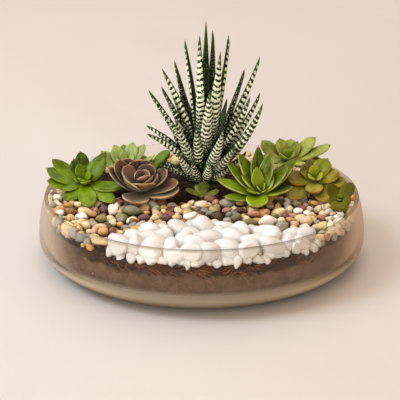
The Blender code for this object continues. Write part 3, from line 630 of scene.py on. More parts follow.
def glass_paint():
    """Clear glass: it lets light through and mirrors the room more where it is seen along its wall. Its thick
    foot is an opaque body in painted light, lighter at the sides and darker at its bottom, with normals bent
    outward so that it catches light from the side, standing in for the light carried through the glass. The
    right wall is hazier and lighter, painted light on its shaded side, and the lip has a painted grey, a
    painted shade for its rounded edge."""
    paint = Paint("clear_glass", {"Roughness": 0.4, "Specular IOR Level": 0.0})
    facing = paint.node("LayerWeight", "Facing", {"Blend": 0.5})
    tint = paint.mix(facing ** 3.0, (0.985, 0.98, 0.97, 1), (0.80, 0.76, 0.68, 1))
    clear = paint.node("BsdfTransparent", 0, {"Color": tint})
    gloss = paint.node("BsdfGlossy", 0, {"Roughness": 0.04})
    pane = paint.node("MixShader", 0, {0: facing ** 5.0 * 0.5 + 0.015, 1: clear, 2: gloss})
    x, y, height = paint.split(paint.place())
    # Where the foot is an opaque body in painted light.
    foot = height.smooth(0.0230, 0.0135)
    # The lip at the front and sides, which gets the painted grey.
    lip = height.smooth(0.0502, 0.0510) * y.smooth(0.070, -0.010)
    # The right side, where the wall gets painted light.
    right = x.smooth(0.030, 0.110)
    # Normals of the foot bent outward, so that it catches light from the side.
    outward = paint.math("NORMALIZE", paint.join(x, y, 0.0), kind="VectorMath")
    pull = paint.node("VectorMath", 0, {0: outward, 3: foot * 3.0}, operation="SCALE")
    bent = paint.math("ADD", paint.node("NewGeometry", "Normal", {}), pull, kind="VectorMath")
    # Foot colours: painted light, lighter at the sides and darker at the bottom as painted shade.
    low = paint.mix(abs(x).smooth(0.030, 0.090), GLASS_FOOT_PAINTED_LIGHT, GLASS_FOOT_SIDES_PAINTED_LIGHT)
    low = paint.mix(height.smooth(0.0150, 0.0040), low, GLASS_BOTTOM_PAINTED_SHADE)
    base = paint.mix(foot, paint.mix(right, GLASS_LEFT, GLASS_RIGHT_PAINTED_LIGHT), low)
    normal = paint.math("NORMALIZE", bent, kind="VectorMath")
    paint.feed(paint.shader, {"Base Color": paint.mix(lip, base, GLASS_LIP_PAINTED_SHADE), "Normal": normal})
    # More haze and body on the right: painted light.
    haze = (facing - right * 0.06).smooth(0.38, 0.80) * (0.45 + right * 0.08)
    body = haze + (0.006 + right * 0.05)
    body = paint.math("MAXIMUM", body, foot * 0.85)
    body = paint.math("MAXIMUM", body, lip * 0.35)
    both = paint.node("MixShader", 0, {0: body, 1: pane, 2: Value(paint, paint.shader.outputs[0])})
    paint.feed(paint.tree.nodes["Material Output"], {"Surface": both})
    return paint


def make_bowl():
    curve = [BOWL_BELLY_HEIGHT * share for share in CURVE]
    profile = [(BOWL_FOOT_RADIUS * share, 0) for share in (0, 0.5, 0.9, 0.99)]
    lip = BOWL_HEIGHT - BOWL_LIP
    rise = lip - BOWL_BELLY_HEIGHT
    wall = [BOWL_BELLY_HEIGHT + rise * step / WALL_STEPS for step in range(1, WALL_STEPS + 1)]
    profile += [(outer_radius(height), height) for height in curve[1:] + wall]
    middle, half = (outer_radius(lip) + inner_radius(lip)) / 2, (outer_radius(lip) - inner_radius(lip)) / 2
    turns = [math.pi * step / LIP_STEPS for step in range(1, LIP_STEPS + 1)]
    profile += [(middle + half * math.cos(turn), lip + BOWL_LIP * math.sin(turn)) for turn in turns]
    inside = [wall_height(height / BOWL_HEIGHT) for height in curve]
    step_height = (lip - inside[-1]) / WALL_STEPS
    wall = [inside[-1] + step_height * step for step in range(WALL_STEPS - 1, -1, -1)]
    profile += [(inner_radius(height), height) for height in wall + inside[-2::-1]]
    profile += [(BOWL_FOOT_RADIUS * share, BOWL_FLOOR) for share in (0.9, 0.5, 0)]
    points, faces = lathe(profile, BOWL_SIDES)
    bowl = mesh_object("clear_bowl", points, faces, glass_paint())
    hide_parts("glass_bowl")
    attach(bowl, "root")


# Soil, and what lies on it and against the glass.

def soil_paint():
    """Dark peaty soil, lighter where it is pressed dry against the glass, and dark and rusty under the drift,
    where it is damp and in painted shade under the stones.
    """
    paint = Paint("dark_potting_mix", {"Roughness": 0.96, "Specular IOR Level": 0.15})
    spot = paint.place()
    coarse = paint.noise(spot, 160.0, 5.0, 0.65)
    fine = paint.noise(spot, 900.0, 3.0, 0.7)
    _, y, height = paint.split(spot)
    pressed = height.smooth(0.0385, 0.0365)
    dark, light = [paint.mix(pressed, *pair) for pair in zip(LOOSE_SOIL, PRESSED_SOIL)]
    base = paint.mix(coarse.smooth(0.35, 0.7), dark, light)
    # Dark and rusty under the drift: damp soil, and painted shade under the stones.
    damp_and_shade = (height + paint.noise(spot, 90.0, 3.0) * 0.012).smooth(0.0365, 0.0405) * y.smooth(-0.070, -0.095)
    base = paint.mix(damp_and_shade, base, paint.mix(fine.smooth(0.45, 0.65), *DAMP_AND_SHADED_SOIL))
    base = paint.mix(fine.smooth(0.62, 0.78), base, SOIL_SPECK)
    return paint.finish(base, coarse + fine * 0.4, 0.8, 0.0016)


def make_soil():
    foot = BOWL_FLOOR + 0.3
    wall = [wall_height(0.93 * SOIL_SHARE * share) for share in CURVE]
    profile = [(inner_radius(BOWL_FLOOR) * share, foot) for share in (0, 0.5, 0.9)]
    profile += [(inner_radius(height) - 0.6, max(height, foot)) for height in wall]
    reach = inner_radius(wall_height(SOIL_SHARE)) - 0.9
    shelf = soil_top(reach)
    profile += [(reach, shelf - 1.6), (reach - 0.3, shelf - 0.4), (reach - 1.2, shelf)]
    radii = [reach * (ring / SOIL_RINGS) for ring in range(SOIL_RINGS - 1, -1, -1)]
    profile += [(radius, soil_top(radius)) for radius in radii]
    points, faces = lathe(profile, SOIL_SIDES)
    top = wall_height(SOIL_SHARE) - 2
    raised = []
    for x, y, z in points:
        if z > top:
            rough = noise.noise(Vector((x, y, 0)) * 0.16) * 0.7 + noise.noise(Vector((x, y, 5)) * 0.5) * 0.7
            z += rough * min(1.0, (reach + 0.5 - math.hypot(x, y)) / 6 + 0.5)
        raised.append((x, y, z))
    soil = mesh_object("potting_mix", raised, faces, soil_paint())
    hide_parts("soil")
    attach(soil, "root")


def cube_sphere(cells):
    """Points and faces of a ball made from a cube whose sides have cells by cells squares."""
    index, points, faces = {}, [], []
    for axis, side, row, column in itertools.product(range(3), (-1, 1), range(cells), range(cells)):
        square = []
        for down, right in ((0, 0), (0, 1), (1, 1), (1, 0)):
            spot = [0.0, 0.0, 0.0]
            spot[axis] = side
            spot[(axis + 1) % 3] = math.tan(math.pi / 4 * (2 * (row + down) / cells - 1))
            spot[(axis + 2) % 3] = math.tan(math.pi / 4 * (2 * (column + right) / cells - 1))
            key = tuple(round(value, 6) for value in spot)
            if key not in index:
                index[key] = len(points)
                points.append(list(Vector(spot).normalized()))
            square.append(index[key])
        faces.append(square if side > 0 else square[::-1])
    return np.array(points), np.array(faces)


def random_direction(draw):
    while True:
        spot = Vector([draw.uniform(-1, 1) for _ in range(3)])
        if 0.1 < spot.length < 1:
            return spot.normalized()


def worn_ball(ball, draw, shape):
    """A worn stone that fills a cube of side 2: a ball cut by planes in random directions and rounded."""
    power = np.zeros(len(ball))
    for _ in range(shape.planes):
        facing = np.array(random_direction(draw))
        reach = draw.uniform(0.78, 1.0)
        power += (np.clip(ball @ facing, 0, None) / reach) ** shape.sharpness
    points = ball * np.minimum(np.maximum(power, 1e-9) ** (-1 / shape.sharpness), shape.corner)[:, None]
    low, high = points.min(axis=0), points.max(axis=0)
    return (2 * points - low - high) / (high - low)


def stone_points(ball, draw, shape, radius, sides):
    """One stone round its own centre. The sides are its half width, depth and height, drawn if not given."""
    points = worn_ball(ball, draw, shape)
    long = draw.uniform(*shape.long)
    radius *= shape.swell
    drawn = (radius * long, radius / long * draw.uniform(0.9, 1.05), radius * draw.uniform(*shape.flat))
    tip = 0.1 if sides else shape.tip
    turn = draw.uniform(-0.2, 0.2) if sides else draw.uniform(0, math.tau)
    turned = Euler((draw.gauss(0, tip), draw.gauss(0, tip), turn), "XYZ")
    return points * (sides or drawn) @ np.array(turned.to_matrix()).T


def stones_object(name, stones, draw, shape, colours, paint):
    """All stones of a kind as one object. Each is its place, radius and, if chosen, its colour and sides."""
    ball, faces = cube_sphere(shape.cells)
    all_points, all_faces, tints, looks = [], [], [], []
    for count, (x, y, z, radius, *own) in enumerate(stones):
        colour, sides = own or (None, None)
        points = stone_points(ball, draw, shape, radius, sides) + (x, y, z)
        points[:, 2] += max(0.0, wall_height(SOIL_SHARE) - shape.sunk - points[:, 2].min())
        limit = np.array([inner_radius(height) for height in points[:, 2]]) - STONE_WALL_GAP
        points[:, :2] *= np.minimum(1, limit / np.hypot(points[:, 0], points[:, 1]))[:, None]
        all_points.append(points)
        all_faces.append(faces + count * len(ball))
        tint = srgb(colour or colours(draw, x, y))
        tone = draw.uniform(0.92, 1.09)
        tints.append((*(min(1, value * tone) for value in tint), 1))
        looks.append((draw.random(), draw.random(), max(0.0, 2.5 * min(tint) - 1.3)))
    attributes = {
        "stone_tint": np.repeat(tints, len(ball), axis=0),
        "stone_look": np.repeat(looks, len(ball), axis=0),
    }
    return mesh_object(name, np.vstack(all_points), np.vstack(all_faces).tolist(), paint, attributes)


def stone_paint(name, mottle, speckle, shade_tint, clear, sockets):
    """Worn stone: its own tint with mottled clouds, dark speckles on some of the stones, and painted shade in
    the gaps between stones.
    """
    paint = Paint(name, {"Specular IOR Level": 0.4, **sockets})
    tint = paint.attribute("stone_tint", "Color")
    seed, kind, plain = paint.split(paint.attribute("stone_look", "Vector"))
    x, y, z = paint.split(paint.place())
    spot = paint.join(x + seed, y, z)
    cloud = paint.noise(spot, 260.0, 4.0, 0.6)
    light = paint.times(tint, [1 + share * mottle for share in (0.7, 0.65, 0.55)])
    dark = paint.times(tint, [1 - share * mottle for share in (1, 1.15, 1.35)])
    base = paint.mix(paint.math("MAXIMUM", cloud.smooth(0.30, 0.70), plain), dark, light)
    grains = 1.0 - paint.dots(spot, 1500.0).smooth(0.22, 0.34)
    grains = grains * (kind.smooth(0.60, 0.75) * speckle)
    base = paint.mix(grains, base, paint.times(tint, (0.32, 0.28, 0.24)))
    # The shade tint is painted shade where stones of the object lie close together.
    return paint.finish(paint.painted_crevice_shade(base, 0.004, shade_tint, clear), paint.noise(spot, 700.0, 3.0), 0.22, 0.0005)


class StoneHeap:
    """Stones that are dropped one by one, each to the lowest of several places that are tried."""

    def __init__(self, draw, flat, packing, bed, stones=()):
        self.draw, self.flat, self.packing, self.bed = draw, flat, packing, bed
        self.stones = np.array(stones).reshape(-1, 4)

    def rest(self, x, y, radius):
        """Height at which a stone of this radius comes to rest at the place."""
        ground = soil_top(math.hypot(x, y)) + radius * self.flat * self.bed
        reach = (self.stones[:, 3] + radius) * self.packing
        gap = (self.stones[:, 0] - x) ** 2 + (self.stones[:, 1] - y) ** 2
        near = gap < reach * reach
        if not near.any():
            return ground
        tops = self.stones[near, 2] + np.sqrt((reach * reach - gap)[near]) * self.flat
        return max(ground, float(np.max(tops)))

    def radius(self, layer):
        if layer.common:
            return self.draw.triangular(layer.small, layer.large, layer.common)
        return self.draw.uniform(layer.small, layer.large)

    def fill(self, layer, room, top, tries, misses):
        """Adds a layer's stones until there is no more place under the top, and says which are new."""
        made = []
        missed = 0
        while missed < misses:
            radius = self.radius(layer)
            best = None
            for _ in range(tries):
                x = self.draw.uniform(*layer.box[:2])
                y = self.draw.uniform(*layer.box[2:])
                if room(x, y, radius):
                    z = self.rest(x, y, radius)
                    if best is None or z < best[2]:
                        best = (x, y, z)
            if best is None or best[2] + radius * self.flat * 0.8 > top(best[0], best[1]):
                missed += 1
                continue
            missed = 0
            made.append((*best, radius))
            self.stones = np.vstack([self.stones, made[-1]])
        return made


def drift_depth(x, y):
    main = oval_depth(x, y, DRIFT_CENTRE, DRIFT_HALF_SIZE, DRIFT_POWER)
    return max(main, oval_depth(x, y, DRIFT_LOBE_CENTRE, DRIFT_LOBE_HALF_SIZE))


def drift_room(x, y, radius):
    return drift_depth(x, y) > radius * 0.5 and math.hypot(x, y) < inner_radius(44) - radius * 0.85


def bed_top(x, y):
    return WHITE_BED_TOP


def drift_top(x, y):
    """Top of the heap of white pebbles: full height inside, one stone high at its edge."""
    return WHITE_TOP + min(4.0, drift_depth(x, y) * 0.35)


def stem_distance(x, y):
    return min(math.hypot(x - plant.heart[0], y - plant.heart[1]) for plant in PLANTS.values())


def gravel_room(x, y, radius):
    if math.hypot(x, y) > inner_radius(43) - radius * 0.9 or drift_depth(x, y) > -radius * 0.2:
        return False
    bare = oval_depth(x, y, BARE_CENTRE, BARE_HALF_SIZE)
    return stem_distance(x, y) > radius + 4.5 and bare < -radius * 0.3


def gravel_top(x, y):
    return GRAVEL_TOP if y < BACK_EDGE else GRAVEL_BACK_TOP


def low_gravel_top(x, y):
    return LOW_GRAVEL_TOP


def pick_gravel(draw, x, y):
    """A stone's colour, drawn by weight. Light ones are more at the sides, and only they lie at the back."""
    names = [name for name in STONES if y < BACK_EDGE or name in BACK_STONES]
    more = SIDE_WEIGHT if abs(x) > SIDE_EDGE else 1
    weights = [STONES[name][1] * (more if name in SIDE_STONES else 1) for name in names]
    return STONES[draw.choices(names, weights)[0]][0]


def chosen_stones():
    """The listed stones, each placed as low and as far in as the wall of the bowl asks."""
    placed = []
    for colour, across, down, width, height in CHOSEN_STONES:
        level = STONE_LEVEL
        x, y = photo_point(across, down, level)
        pixel = photo_point(across + 1, down, level)[0] - x
        half = width * pixel / 2
        tall = min(height * pixel / 2, half * 1.6)
        while math.hypot(x, y) > inner_radius(level) - half * 0.7 and level > wall_height(SOIL_SHARE) + 1:
            level -= 0.25
            x, y = photo_point(across, down, level)
        lift = max(0.0, tall - 4.0) * 0.8
        placed.append((x, y, level + lift, half, STONES[colour][0], (half, min(half, tall) * 0.9, tall)))
    return placed


def make_white_stones(draw):
    """The white drift: a bed of small stones under larger ones. Gives its stones back."""
    heap = StoneHeap(draw, flat=0.74, packing=0.78, bed=0.35)
    stones = heap.fill(WHITE_BED, drift_room, bed_top, tries=40, misses=60)
    stones += heap.fill(WHITE_LARGE, drift_room, drift_top, tries=80, misses=90)
    # The third tuple is the warm painted shade between the white pebbles.
    paint = stone_paint("white_pebble_stone", 0.05, 0.0, (0.90, 0.80, 0.64), 0.75, {
        "Roughness": 0.42, "Subsurface Weight": 0.3, "Subsurface Radius": (1.0, 0.9, 0.75),
        "Subsurface Scale": 0.002,
    })
    made = stones_object("white_stones", stones, draw, WHITE_SHAPE, lambda draw, x, y: WHITE_COLOUR, paint)
    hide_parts("white_pebbles")
    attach(made, "root")
    return stones


def make_gravel_stones(draw, whites):
    """The mixed gravel beside the drift: the chosen stones, then large ones, then low small ones in mostly
    dark colours, which stand in the gaps as painted shade.
    """
    chosen = chosen_stones()
    there = whites + [stone[:4] for stone in chosen]
    heap = StoneHeap(draw, flat=0.72, packing=0.84, bed=0.62, stones=there)
    laid = chosen + heap.fill(GRAVEL_LARGE, gravel_room, gravel_top, tries=40, misses=90)
    low = heap.fill(GRAVEL_LOW, gravel_room, low_gravel_top, tries=60, misses=25)
    # Low small stones in mostly dark colours: painted shade in the gaps.
    laid += [(*stone, STONES[draw.choice(LOW_STONES_FOR_SHADE)][0], None) for stone in low]
    # The dark tuple is the painted shade in the gaps between the gravel stones.
    paint = stone_paint("gravel_stone", 0.15, 0.8, (0.12, 0.08, 0.04), 0.92, {"Roughness": 0.30})
    made = stones_object("gravel_stones", laid, draw, GRAVEL_SHAPE, pick_gravel, paint)
    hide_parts("gravel")
    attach(made, "root")


def make_stones():
    draw = random.Random(STONE_SEED)
    whites = make_white_stones(draw)
    make_gravel_stones(draw, whites)


def make_crumbs(draw):
    """Crumbs of bark on the soil, and pale specks behind the glass."""
    crumbs = []
    for _ in range(CRUMB_COUNT):
        turn, reach = draw.uniform(0, math.tau), CRUMB_REACH * math.sqrt(draw.random())
        x, y = reach * math.cos(turn), reach * math.sin(turn)
        if stem_distance(x, y) > 5 and drift_depth(x, y) < -2:
            size = draw.triangular(0.5, 2.0, 0.8)
            crumbs.append((x, y, soil_top(reach) + 0.5 * size, size, draw.choice(CRUMB_COLOURS), None))
    for _ in range(SPECK_COUNT):
        turn, height = draw.uniform(0, math.tau), draw.uniform(10, 38)
        reach = inner_radius(height) - 0.45
        size = draw.triangular(0.12, 0.5, 0.2)
        colour = draw.choice(SPECK_COLOURS)
        crumbs.append((reach * math.cos(turn), reach * math.sin(turn), height, size, colour, None))
    # The third tuple is the painted shade between the crumbs.
    paint = stone_paint("bark_and_perlite", 0.25, 0.0, (0.6, 0.55, 0.5), 0.75, {"Roughness": 0.85})
    made = stones_object("soil_crumbs", crumbs, draw, CRUMB_SHAPE, pick_gravel, paint)
    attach(made, "root")


def thread(path, radius):
    """Points and faces of a thin tube along a path, closed at both ends."""
    points, last = [], len(path) - 1
    for place, spot in enumerate(path):
        ahead = (path[min(place + 1, last)] - path[max(place - 1, 0)]).normalized()
        first = ahead.cross(Vector((0.3, 0.2, 1))).normalized()
        second = ahead.cross(first)
        taper = radius * (0.35 if place in (0, last) else 1.0)
        for cosine, sine in circle(THREAD_SIDES):
            points.append(spot + (first * cosine + second * sine) * taper)
    start = tuple(range(THREAD_SIDES))[::-1]
    end = tuple(range(last * THREAD_SIDES, len(points)))
    return points, [*ring_faces(0, THREAD_SIDES, len(path)), start, end]


def root_fibre(draw):
    """A fine root that lies on the soil behind the glass, under the white pebbles."""
    turn = math.radians(draw.gauss(-90, 26))
    height = draw.triangular(31.0, 39.5, 38.0)
    heading = draw.uniform(-0.9, 0.9)
    path = []
    for _ in range(draw.randint(6, 11)):
        reach = inner_radius(height) - 0.5
        path.append(Vector((reach * math.cos(turn), reach * math.sin(turn), height)))
        heading += draw.uniform(-0.45, 0.45)
        turn += math.cos(heading) * 1.3 / reach
        height = max(24.0, min(40.5, height + math.sin(heading) * 1.3))
    return path


def dry_twig(across, down, turn, length):
    """A dry twig or leaf base that lies on the gravel."""
    middle = Vector((*photo_point(across, down, STONE_LEVEL), STONE_LEVEL + 2.5))
    run = Vector((math.cos(turn), math.sin(turn), 0.1)) * length / 4
    return [middle + run * step + Vector((0, 0, 1)) * (0.5 * math.sin(step)) for step in range(-2, 3)]


def root_paint():
    paint = Paint("root_fibre", {"Roughness": 0.8})
    grain = paint.noise(paint.place(), 1200.0)
    tint = paint.attribute("stone_tint", "Color")
    paint.feed(paint.shader, {"Base Color": paint.mix(grain, tint, paint.times(tint, (0.55, 0.5, 0.45)))})
    return paint


def make_roots(draw):
    """Fine roots behind the glass, and some dry twigs on the gravel."""
    paths = []
    for _ in range(ROOT_COUNT):
        paths.append((root_fibre(draw), draw.uniform(0.07, 0.16), draw.choice(ROOT_COLOURS)))
    paths += [(dry_twig(*twig), TWIG_RADIUS, TWIG_COLOUR) for twig in TWIGS]
    points, faces, tints = [], [], []
    for path, radius, colour in paths:
        spots, sides = thread(path, radius)
        faces.extend(tuple(len(points) + corner for corner in side) for side in sides)
        points.extend(spots)
        tints.extend([(*srgb(colour), 1)] * len(spots))
    made = mesh_object("root_fibres", points, faces, root_paint(), {"stone_tint": tints})
    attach(made, "root")


def make_debris():
    draw = random.Random(DEBRIS_SEED)
    make_crumbs(draw)
    make_roots(draw)


# Leaves.

def width_share(form, t):
    """Half width of a leaf at t of its length, as a share of its widest."""
    if t < form.widest:
        return form.root + (1 - form.root) * math.sin(math.pi / 2 * t / form.widest)
    power, closing = form.end
    return max(0.0, 1 - ((t - form.widest) / (1 - form.widest)) ** power) ** closing


def thickness(form, half_width, t, blunt):
    """Half thickness of a leaf at t of its length. Its tip closes over the blunt share of the length."""
    return form.thick * half_width * (0.35 + 0.65 * width_share(form, t)) * math.sqrt(clamp((1 - t) / blunt))


class Shells:
    """Closed shells of rings of points, gathered into one mesh with values on each point."""

    def __init__(self):
        self.points, self.faces, self.places, self.kinds = [], [], [], []

    def add(self, rings, places, kind):
        """Rings of points, with the value of each point. The first and last ring are single points."""
        first, sides = len(self.points), len(rings[1])
        self.points.extend(itertools.chain(*rings))
        self.places.extend(itertools.chain(*places))
        self.kinds.extend([kind] * (len(self.points) - first))
        last = len(self.points) - 1
        self.faces.extend(ring_faces(first + 1, sides, len(rings) - 2))
        for side in range(sides):
            after = (side + 1) % sides
            self.faces.append((first, first + 1 + after, first + 1 + side))
            self.faces.append((last, last - sides + side, last - sides + after))

    def object(self, name, paint):
        attributes = {"leaf_place": self.places, "leaf_kind": self.kinds}
        return mesh_object(name, self.points, self.faces, paint, attributes)


class Arc:
    """The bent frame along a leaf: turns a place in the leaf into a point of the bowl's frame."""

    def __init__(self, plant, leaf, order, sway, twist):
        share = order / len(plant.leaves)
        tilt = math.radians(leaf.tilt)
        curl = math.radians(plant.curl if leaf.curl is None else leaf.curl)
        self.out = plant.spread * (1 - share)
        self.up = plant.rise * share - plant.sink * (1 - share)
        out = leaf.length * math.cos(tilt) - self.out
        up = leaf.length * math.sin(tilt) - self.up
        self.start, self.bend = math.atan2(up, out) - curl, 2 * curl
        self.length = math.hypot(out, up) * curl / math.sin(curl)
        turn = math.radians(leaf.azimuth)
        self.outward = Vector((math.cos(turn), math.sin(turn), 0))
        self.across = Vector((-math.sin(turn), math.cos(turn), 0))
        self.lean = Matrix.Rotation(math.radians(plant.lean), 3, "X")
        self.heart = Vector(plant.heart)
        self.sway, self.twist = sway, twist

    def point(self, t, side, lift):
        here = self.start + self.bend * t
        run = (math.sin(here) - math.sin(self.start)) / self.bend * self.length
        rise = (math.cos(self.start) - math.cos(here)) / self.bend * self.length
        normal = Vector((0, 0, math.cos(here))) - self.outward * math.sin(here)
        turn = self.twist * min(1.0, 2.0 * t)
        aside = side * math.cos(turn) - lift * math.sin(turn) + self.sway * math.sin(math.pi * t)
        above = side * math.sin(turn) + lift * math.cos(turn)
        spot = self.outward * (self.out + run) + Vector((0, 0, self.up + rise))
        return self.heart + self.lean @ (spot + self.across * aside + normal * above)


def add_leaf(shells, plant, leaf, order, draw):
    """A smooth leaf with a fine point, in the form that the solid gives with few faces."""
    form, half_width = plant.form, leaf.width / 2
    arc = Arc(plant, leaf, order, draw.uniform(-0.03, 0.03) * leaf.length, draw.uniform(-0.2, 0.2))
    # Leaves at the back are darker: painted shade on their faces, with a random tone on top.
    shade_and_tone = 0.5 - 0.3 * math.sin(math.radians(leaf.azimuth)) + draw.uniform(-0.2, 0.2)
    crease = draw.uniform(0.02, 0.07)
    wave = draw.uniform(0, math.tau)
    rings, places = [[arc.point(0.0, 0.0, 0.0)]], [[(0, 0, 0)]]
    for row in range(1, LEAF_RINGS):
        t = (1 - math.cos(math.pi * row / LEAF_RINGS)) / 2
        share = width_share(form, t)
        half = half_width * share
        thick = thickness(form, half_width, t, 0.10)
        ring = []
        for cosine, sine in circle(LEAF_SIDES):
            rise = thick * math.copysign(abs(sine) ** form.edge, sine) * (0.75 if sine > 0 else 1.25)
            rise += form.cup * half * (cosine * cosine - 0.3) * share
            rise -= crease * half_width * math.exp(-(cosine / 0.22) ** 2) * share * (1 if sine > 0 else 0.3)
            edge = 1 + 0.025 * math.sin(wave + 9 * t + 2 * cosine)
            ring.append(arc.point(t, half * cosine * edge, rise))
        rings.append(ring)
        places.append([(t, cosine, sine) for cosine, sine in circle(LEAF_SIDES)])
    rings.append([arc.point(1.0 + 0.9 / leaf.length, 0.0, 0.0)])
    places.append([(1.05, 0, 0)])
    shells.add(rings, places, (clamp(shade_and_tone), order / len(plant.leaves), 0.0))


def add_stem(shells, plant):
    """The plant's short stem, from the bottom of its hole in the soil to the head that the leaves grow on."""
    x, y, z = plant.heart
    stem, head, rise = plant.stem, plant.head, plant.rise
    ground = soil_top(math.hypot(x, y))
    neck = max(z - head, ground + 0.6)
    levels = (
        (stem, ground - STEM_HOLE_DEPTH), (stem, ground), (stem * 0.96, (ground + neck) / 2), (stem, neck),
        (head * 0.9, z - 0.55 * head), (head, z - 0.2 * head), (head * 0.9, z + 0.35 * rise),
        (head * 0.7, z + 0.7 * rise), (head * 0.35, z + 0.92 * rise),
    )
    rings = [[Vector((x, y, ground - STEM_HOLE_DEPTH - 0.02))]]
    for level, (radius, height) in enumerate(levels):
        ring = []
        for side in range(STEM_SIDES):
            turn = math.tau * side / STEM_SIDES
            rough = radius * (1 + 0.05 * math.sin(3 * turn + level * 1.7))
            ring.append(Vector((x + rough * math.cos(turn), y + rough * math.sin(turn), height)))
        rings.append(ring)
    rings.append([Vector((x, y, z + rise + 0.5))])
    places = [[(0, 0, 0)], *[[(0.1, 0, 0)] * STEM_SIDES] * len(levels), [(0, 0, 0)]]
    shells.add(rings, places, (0.5, 1.0, 1.0))


def leaf_paint(name, look):
    """Leaf colour by the place in the leaf: root, tip, edge, back, and age from the outside to the heart. The
    pale edge is partly a painted highlight, the leaves at the back lean dark as painted shade, and painted
    shade falls where leaves stand close.
    """
    paint = Paint(name + "_leaf", {
        "Roughness": look.gloss, "Specular IOR Level": 0.10, "Sheen Weight": look.bloom,
        "Sheen Roughness": 0.5, "Sheen Tint": (0.85, 0.95, 0.9, 1), "Subsurface Weight": 0.12,
        "Subsurface Radius": (0.5, 1.0, 0.25), "Subsurface Scale": 0.0015, "Coat Weight": look.coat,
        "Coat Roughness": 0.2,
    })
    along, across, side = paint.split(paint.attribute("leaf_place", "Vector"))
    seed, youth, stem = paint.split(paint.attribute("leaf_kind", "Vector"))
    spot = paint.place()
    cloud = paint.noise(spot, 130.0, 3.0, 0.55)
    streak = paint.noise(paint.join(across * 2.2, along * 0.7, seed * 30.0), 3.0, 3.0)
    # seed holds that tone of each leaf, lower on the leaves at the back: painted shade.
    tone = cloud * 0.45 + streak * 0.30 + seed * 0.35 + along * -0.12
    base = paint.mix(tone.smooth(0.22, 0.72), look.dark, look.light)
    base = paint.mix(side.smooth(0.1, -0.5) * 0.85, base, look.back)
    base = paint.mix(youth.smooth(0.55, 0.85) * 0.85, base, look.young)
    base = paint.mix(along.smooth(0.55, 0.05) * 0.75, base, look.root)
    # Pale edge: partly the margin's own colour, partly a painted highlight along the curved margin.
    rim = abs(across).smooth(look.margin, look.margin + 0.07) * along.smooth(0.12, 0.4)
    base = paint.mix(rim * (cloud.smooth(0.2, 0.6) * look.rim), base, look.edge)
    tip = along + (cloud - 0.5) * 0.06
    base = paint.mix(tip.smooth(0.93, 0.995) * 0.85, base, look.tip)
    # Painted shade where leaves of the plant stand close.
    base = paint.painted_crevice_shade(paint.mix(stem, base, STEM_COLOUR), 0.012, (0.10, 0.12, 0.03), 0.95)
    return paint.finish(base, streak * 0.6 + paint.noise(spot, 1400.0), 0.12, 0.0005)


def plant_object(name, add, paint):
    """One plant as one object: its stem, and its leaves in the order of the table."""
    plant, draw, shells = PLANTS[name], random.Random(name), Shells()
    add_stem(shells, plant)
    for order, leaf in enumerate(plant.leaves):
        add(shells, plant, Leaf(*leaf), order, draw)
    return shells.object(name + "_plant", paint)


def make_rosettes():
    for name, look in LEAF_LOOKS.items():
        made = plant_object(name, add_leaf, leaf_paint(name, look))
        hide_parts(name)
        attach(made, "root")


# The tall banded plant.

def band_rows(length):
    """Places along a leaf, four to a band, with the count of bands up to each place."""
    rows = []
    place, count = 0.0, 0.0
    while place < length * 0.985:
        rows.append((place / length, count))
        near = clamp((place / length - 0.15) / 0.65)
        period = BAND_NEAR + (BAND_FAR - BAND_NEAR) * near * near * (3 - 2 * near)
        place += min(period, BAND_NEAR + length / 36) / 4
        count += 0.25
    return rows


def add_spear(shells, plant, leaf, order, draw):
    """A narrow keeled leaf. Its back carries raised bands, which swing up and down across the leaf."""
    form, half_width = plant.form, leaf.width * SPEAR_SLIM / 2
    twist = -SPEAR_TURN * math.cos(math.radians(leaf.azimuth)) + draw.uniform(-0.15, 0.15)
    sway = draw.uniform(-0.012, 0.012) * leaf.length
    arc = Arc(plant, leaf, order, sway, twist if leaf.twist is None else leaf.twist)
    kind = (draw.random(), leaf.pearls, 0.0)
    rows = band_rows(arc.length)
    start = draw.uniform(0, 1)
    rings, places = [[arc.point(0.0, 0.0, 0.0)]], [[(0, 0, 0)]]
    for t, count in rows[1:]:
        share = width_share(form, t)
        half = half_width * share
        thick = thickness(form, half_width, t, 0.06)
        crest = 0.5 + 0.5 * math.cos(math.tau * count)
        raised = BAND_RISE * crest * clamp((0.97 - t) / 0.2) * clamp(t / 0.05)
        swing = BAND_SWING * (0.35 + 0.65 * share) * draw.uniform(0.7, 1.2) / arc.length
        start += draw.uniform(-0.12, 0.12)
        ring, place = [], []
        for cosine, sine in circle(SPEAR_SIDES, 0.5):
            back = max(0.0, -sine)
            grown = raised * clamp(back * 3)
            rise = thick * (0.35 * sine if sine > 0 else -1.4 * back ** 1.15)
            rise += form.cup * half * (cosine * cosine - 0.3) * share
            wave = abs((cosine * 1.4 + start) % 1.0 - 0.5) * 4 - 1
            zigzag = swing * (2.4 * cosine * cosine - 0.9 + 0.45 * wave) * clamp((0.25 - sine) * 3)
            ring.append(arc.point(min(0.998, t + zigzag), (half + grown) * cosine, rise + grown * sine))
            place.append((t, count, sine))
        rings.append(ring)
        places.append(place)
    rings.append([arc.point(1.0, 0.0, 0.0)])
    places.append([(1.0, rows[-1][1], 0)])
    shells.add(rings, places, kind)


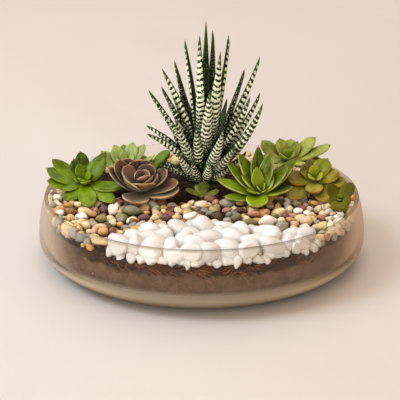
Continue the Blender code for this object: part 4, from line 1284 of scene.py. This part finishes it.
def spear_paint():
    """Dark green, with white bands on the back that turn to painted shade near the root, white pearls on the
    short leaves, and painted shade where leaves stand close.
    """
    paint = Paint("banded_leaf", {
        "Roughness": 0.45, "Specular IOR Level": 0.06, "Subsurface Weight": 0.05,
        "Subsurface Radius": (0.4, 1.0, 0.3), "Subsurface Scale": 0.001,
    })
    along, count, side = paint.split(paint.attribute("leaf_place", "Vector"))
    seed, dotted, stem = paint.split(paint.attribute("leaf_kind", "Vector"))
    spot = paint.place()
    cloud = paint.noise(spot, 260.0, 3.0)
    patch = paint.noise(spot, 620.0)
    base = paint.mix(cloud.smooth(0.35, 0.72), SPEAR_GREEN, SPEAR_PALE_GREEN)
    base = paint.mix(along.smooth(0.80, 1.0), base, SPEAR_TIP)
    low = along.smooth(0.55, 0.10)
    ragged = (paint.noise(spot, 1050.0) - 0.5) * (4.6 + low * 3.5)
    crest = paint.math("COSINE", count * math.tau) + (patch - 0.5) * 2.2 + ragged + (seed - 0.5) * 0.5
    crest = crest + (0.16 - (dotted + low * 1.5))
    fade = (along + patch * 0.35).smooth(1.16, 1.00)
    bands = crest.smooth(-0.10, 0.12) * side.smooth(-0.16, -0.46) * fade
    pearls = (1.0 - paint.dots(spot, 680.0).smooth(0.28, 0.38)) * dotted * along.smooth(0.95, 0.6)
    white = paint.math("MAXIMUM", bands, pearls)
    # The white of the bands turns to a painted shade near the root.
    base = paint.mix(white, base, paint.mix(along.smooth(0.05, 0.52), SPEAR_BAND_PAINTED_SHADE, SPEAR_WHITE))
    # Painted shade where leaves of the plant stand close.
    base = paint.painted_crevice_shade(paint.mix(stem, base, SPEAR_STEM), 0.014, (0.08, 0.10, 0.03), 0.92)
    return paint.finish(base, white + cloud * 0.2, 0.5, 0.0006)


def make_haworthia():
    made = plant_object("haworthia", add_spear, spear_paint())
    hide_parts("haworthia")
    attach(made, "root")


def main():
    make_camera()
    make_floor()
    make_light()
    make_bowl()
    make_soil()
    make_stones()
    make_debris()
    make_rosettes()
    make_haworthia()


main()
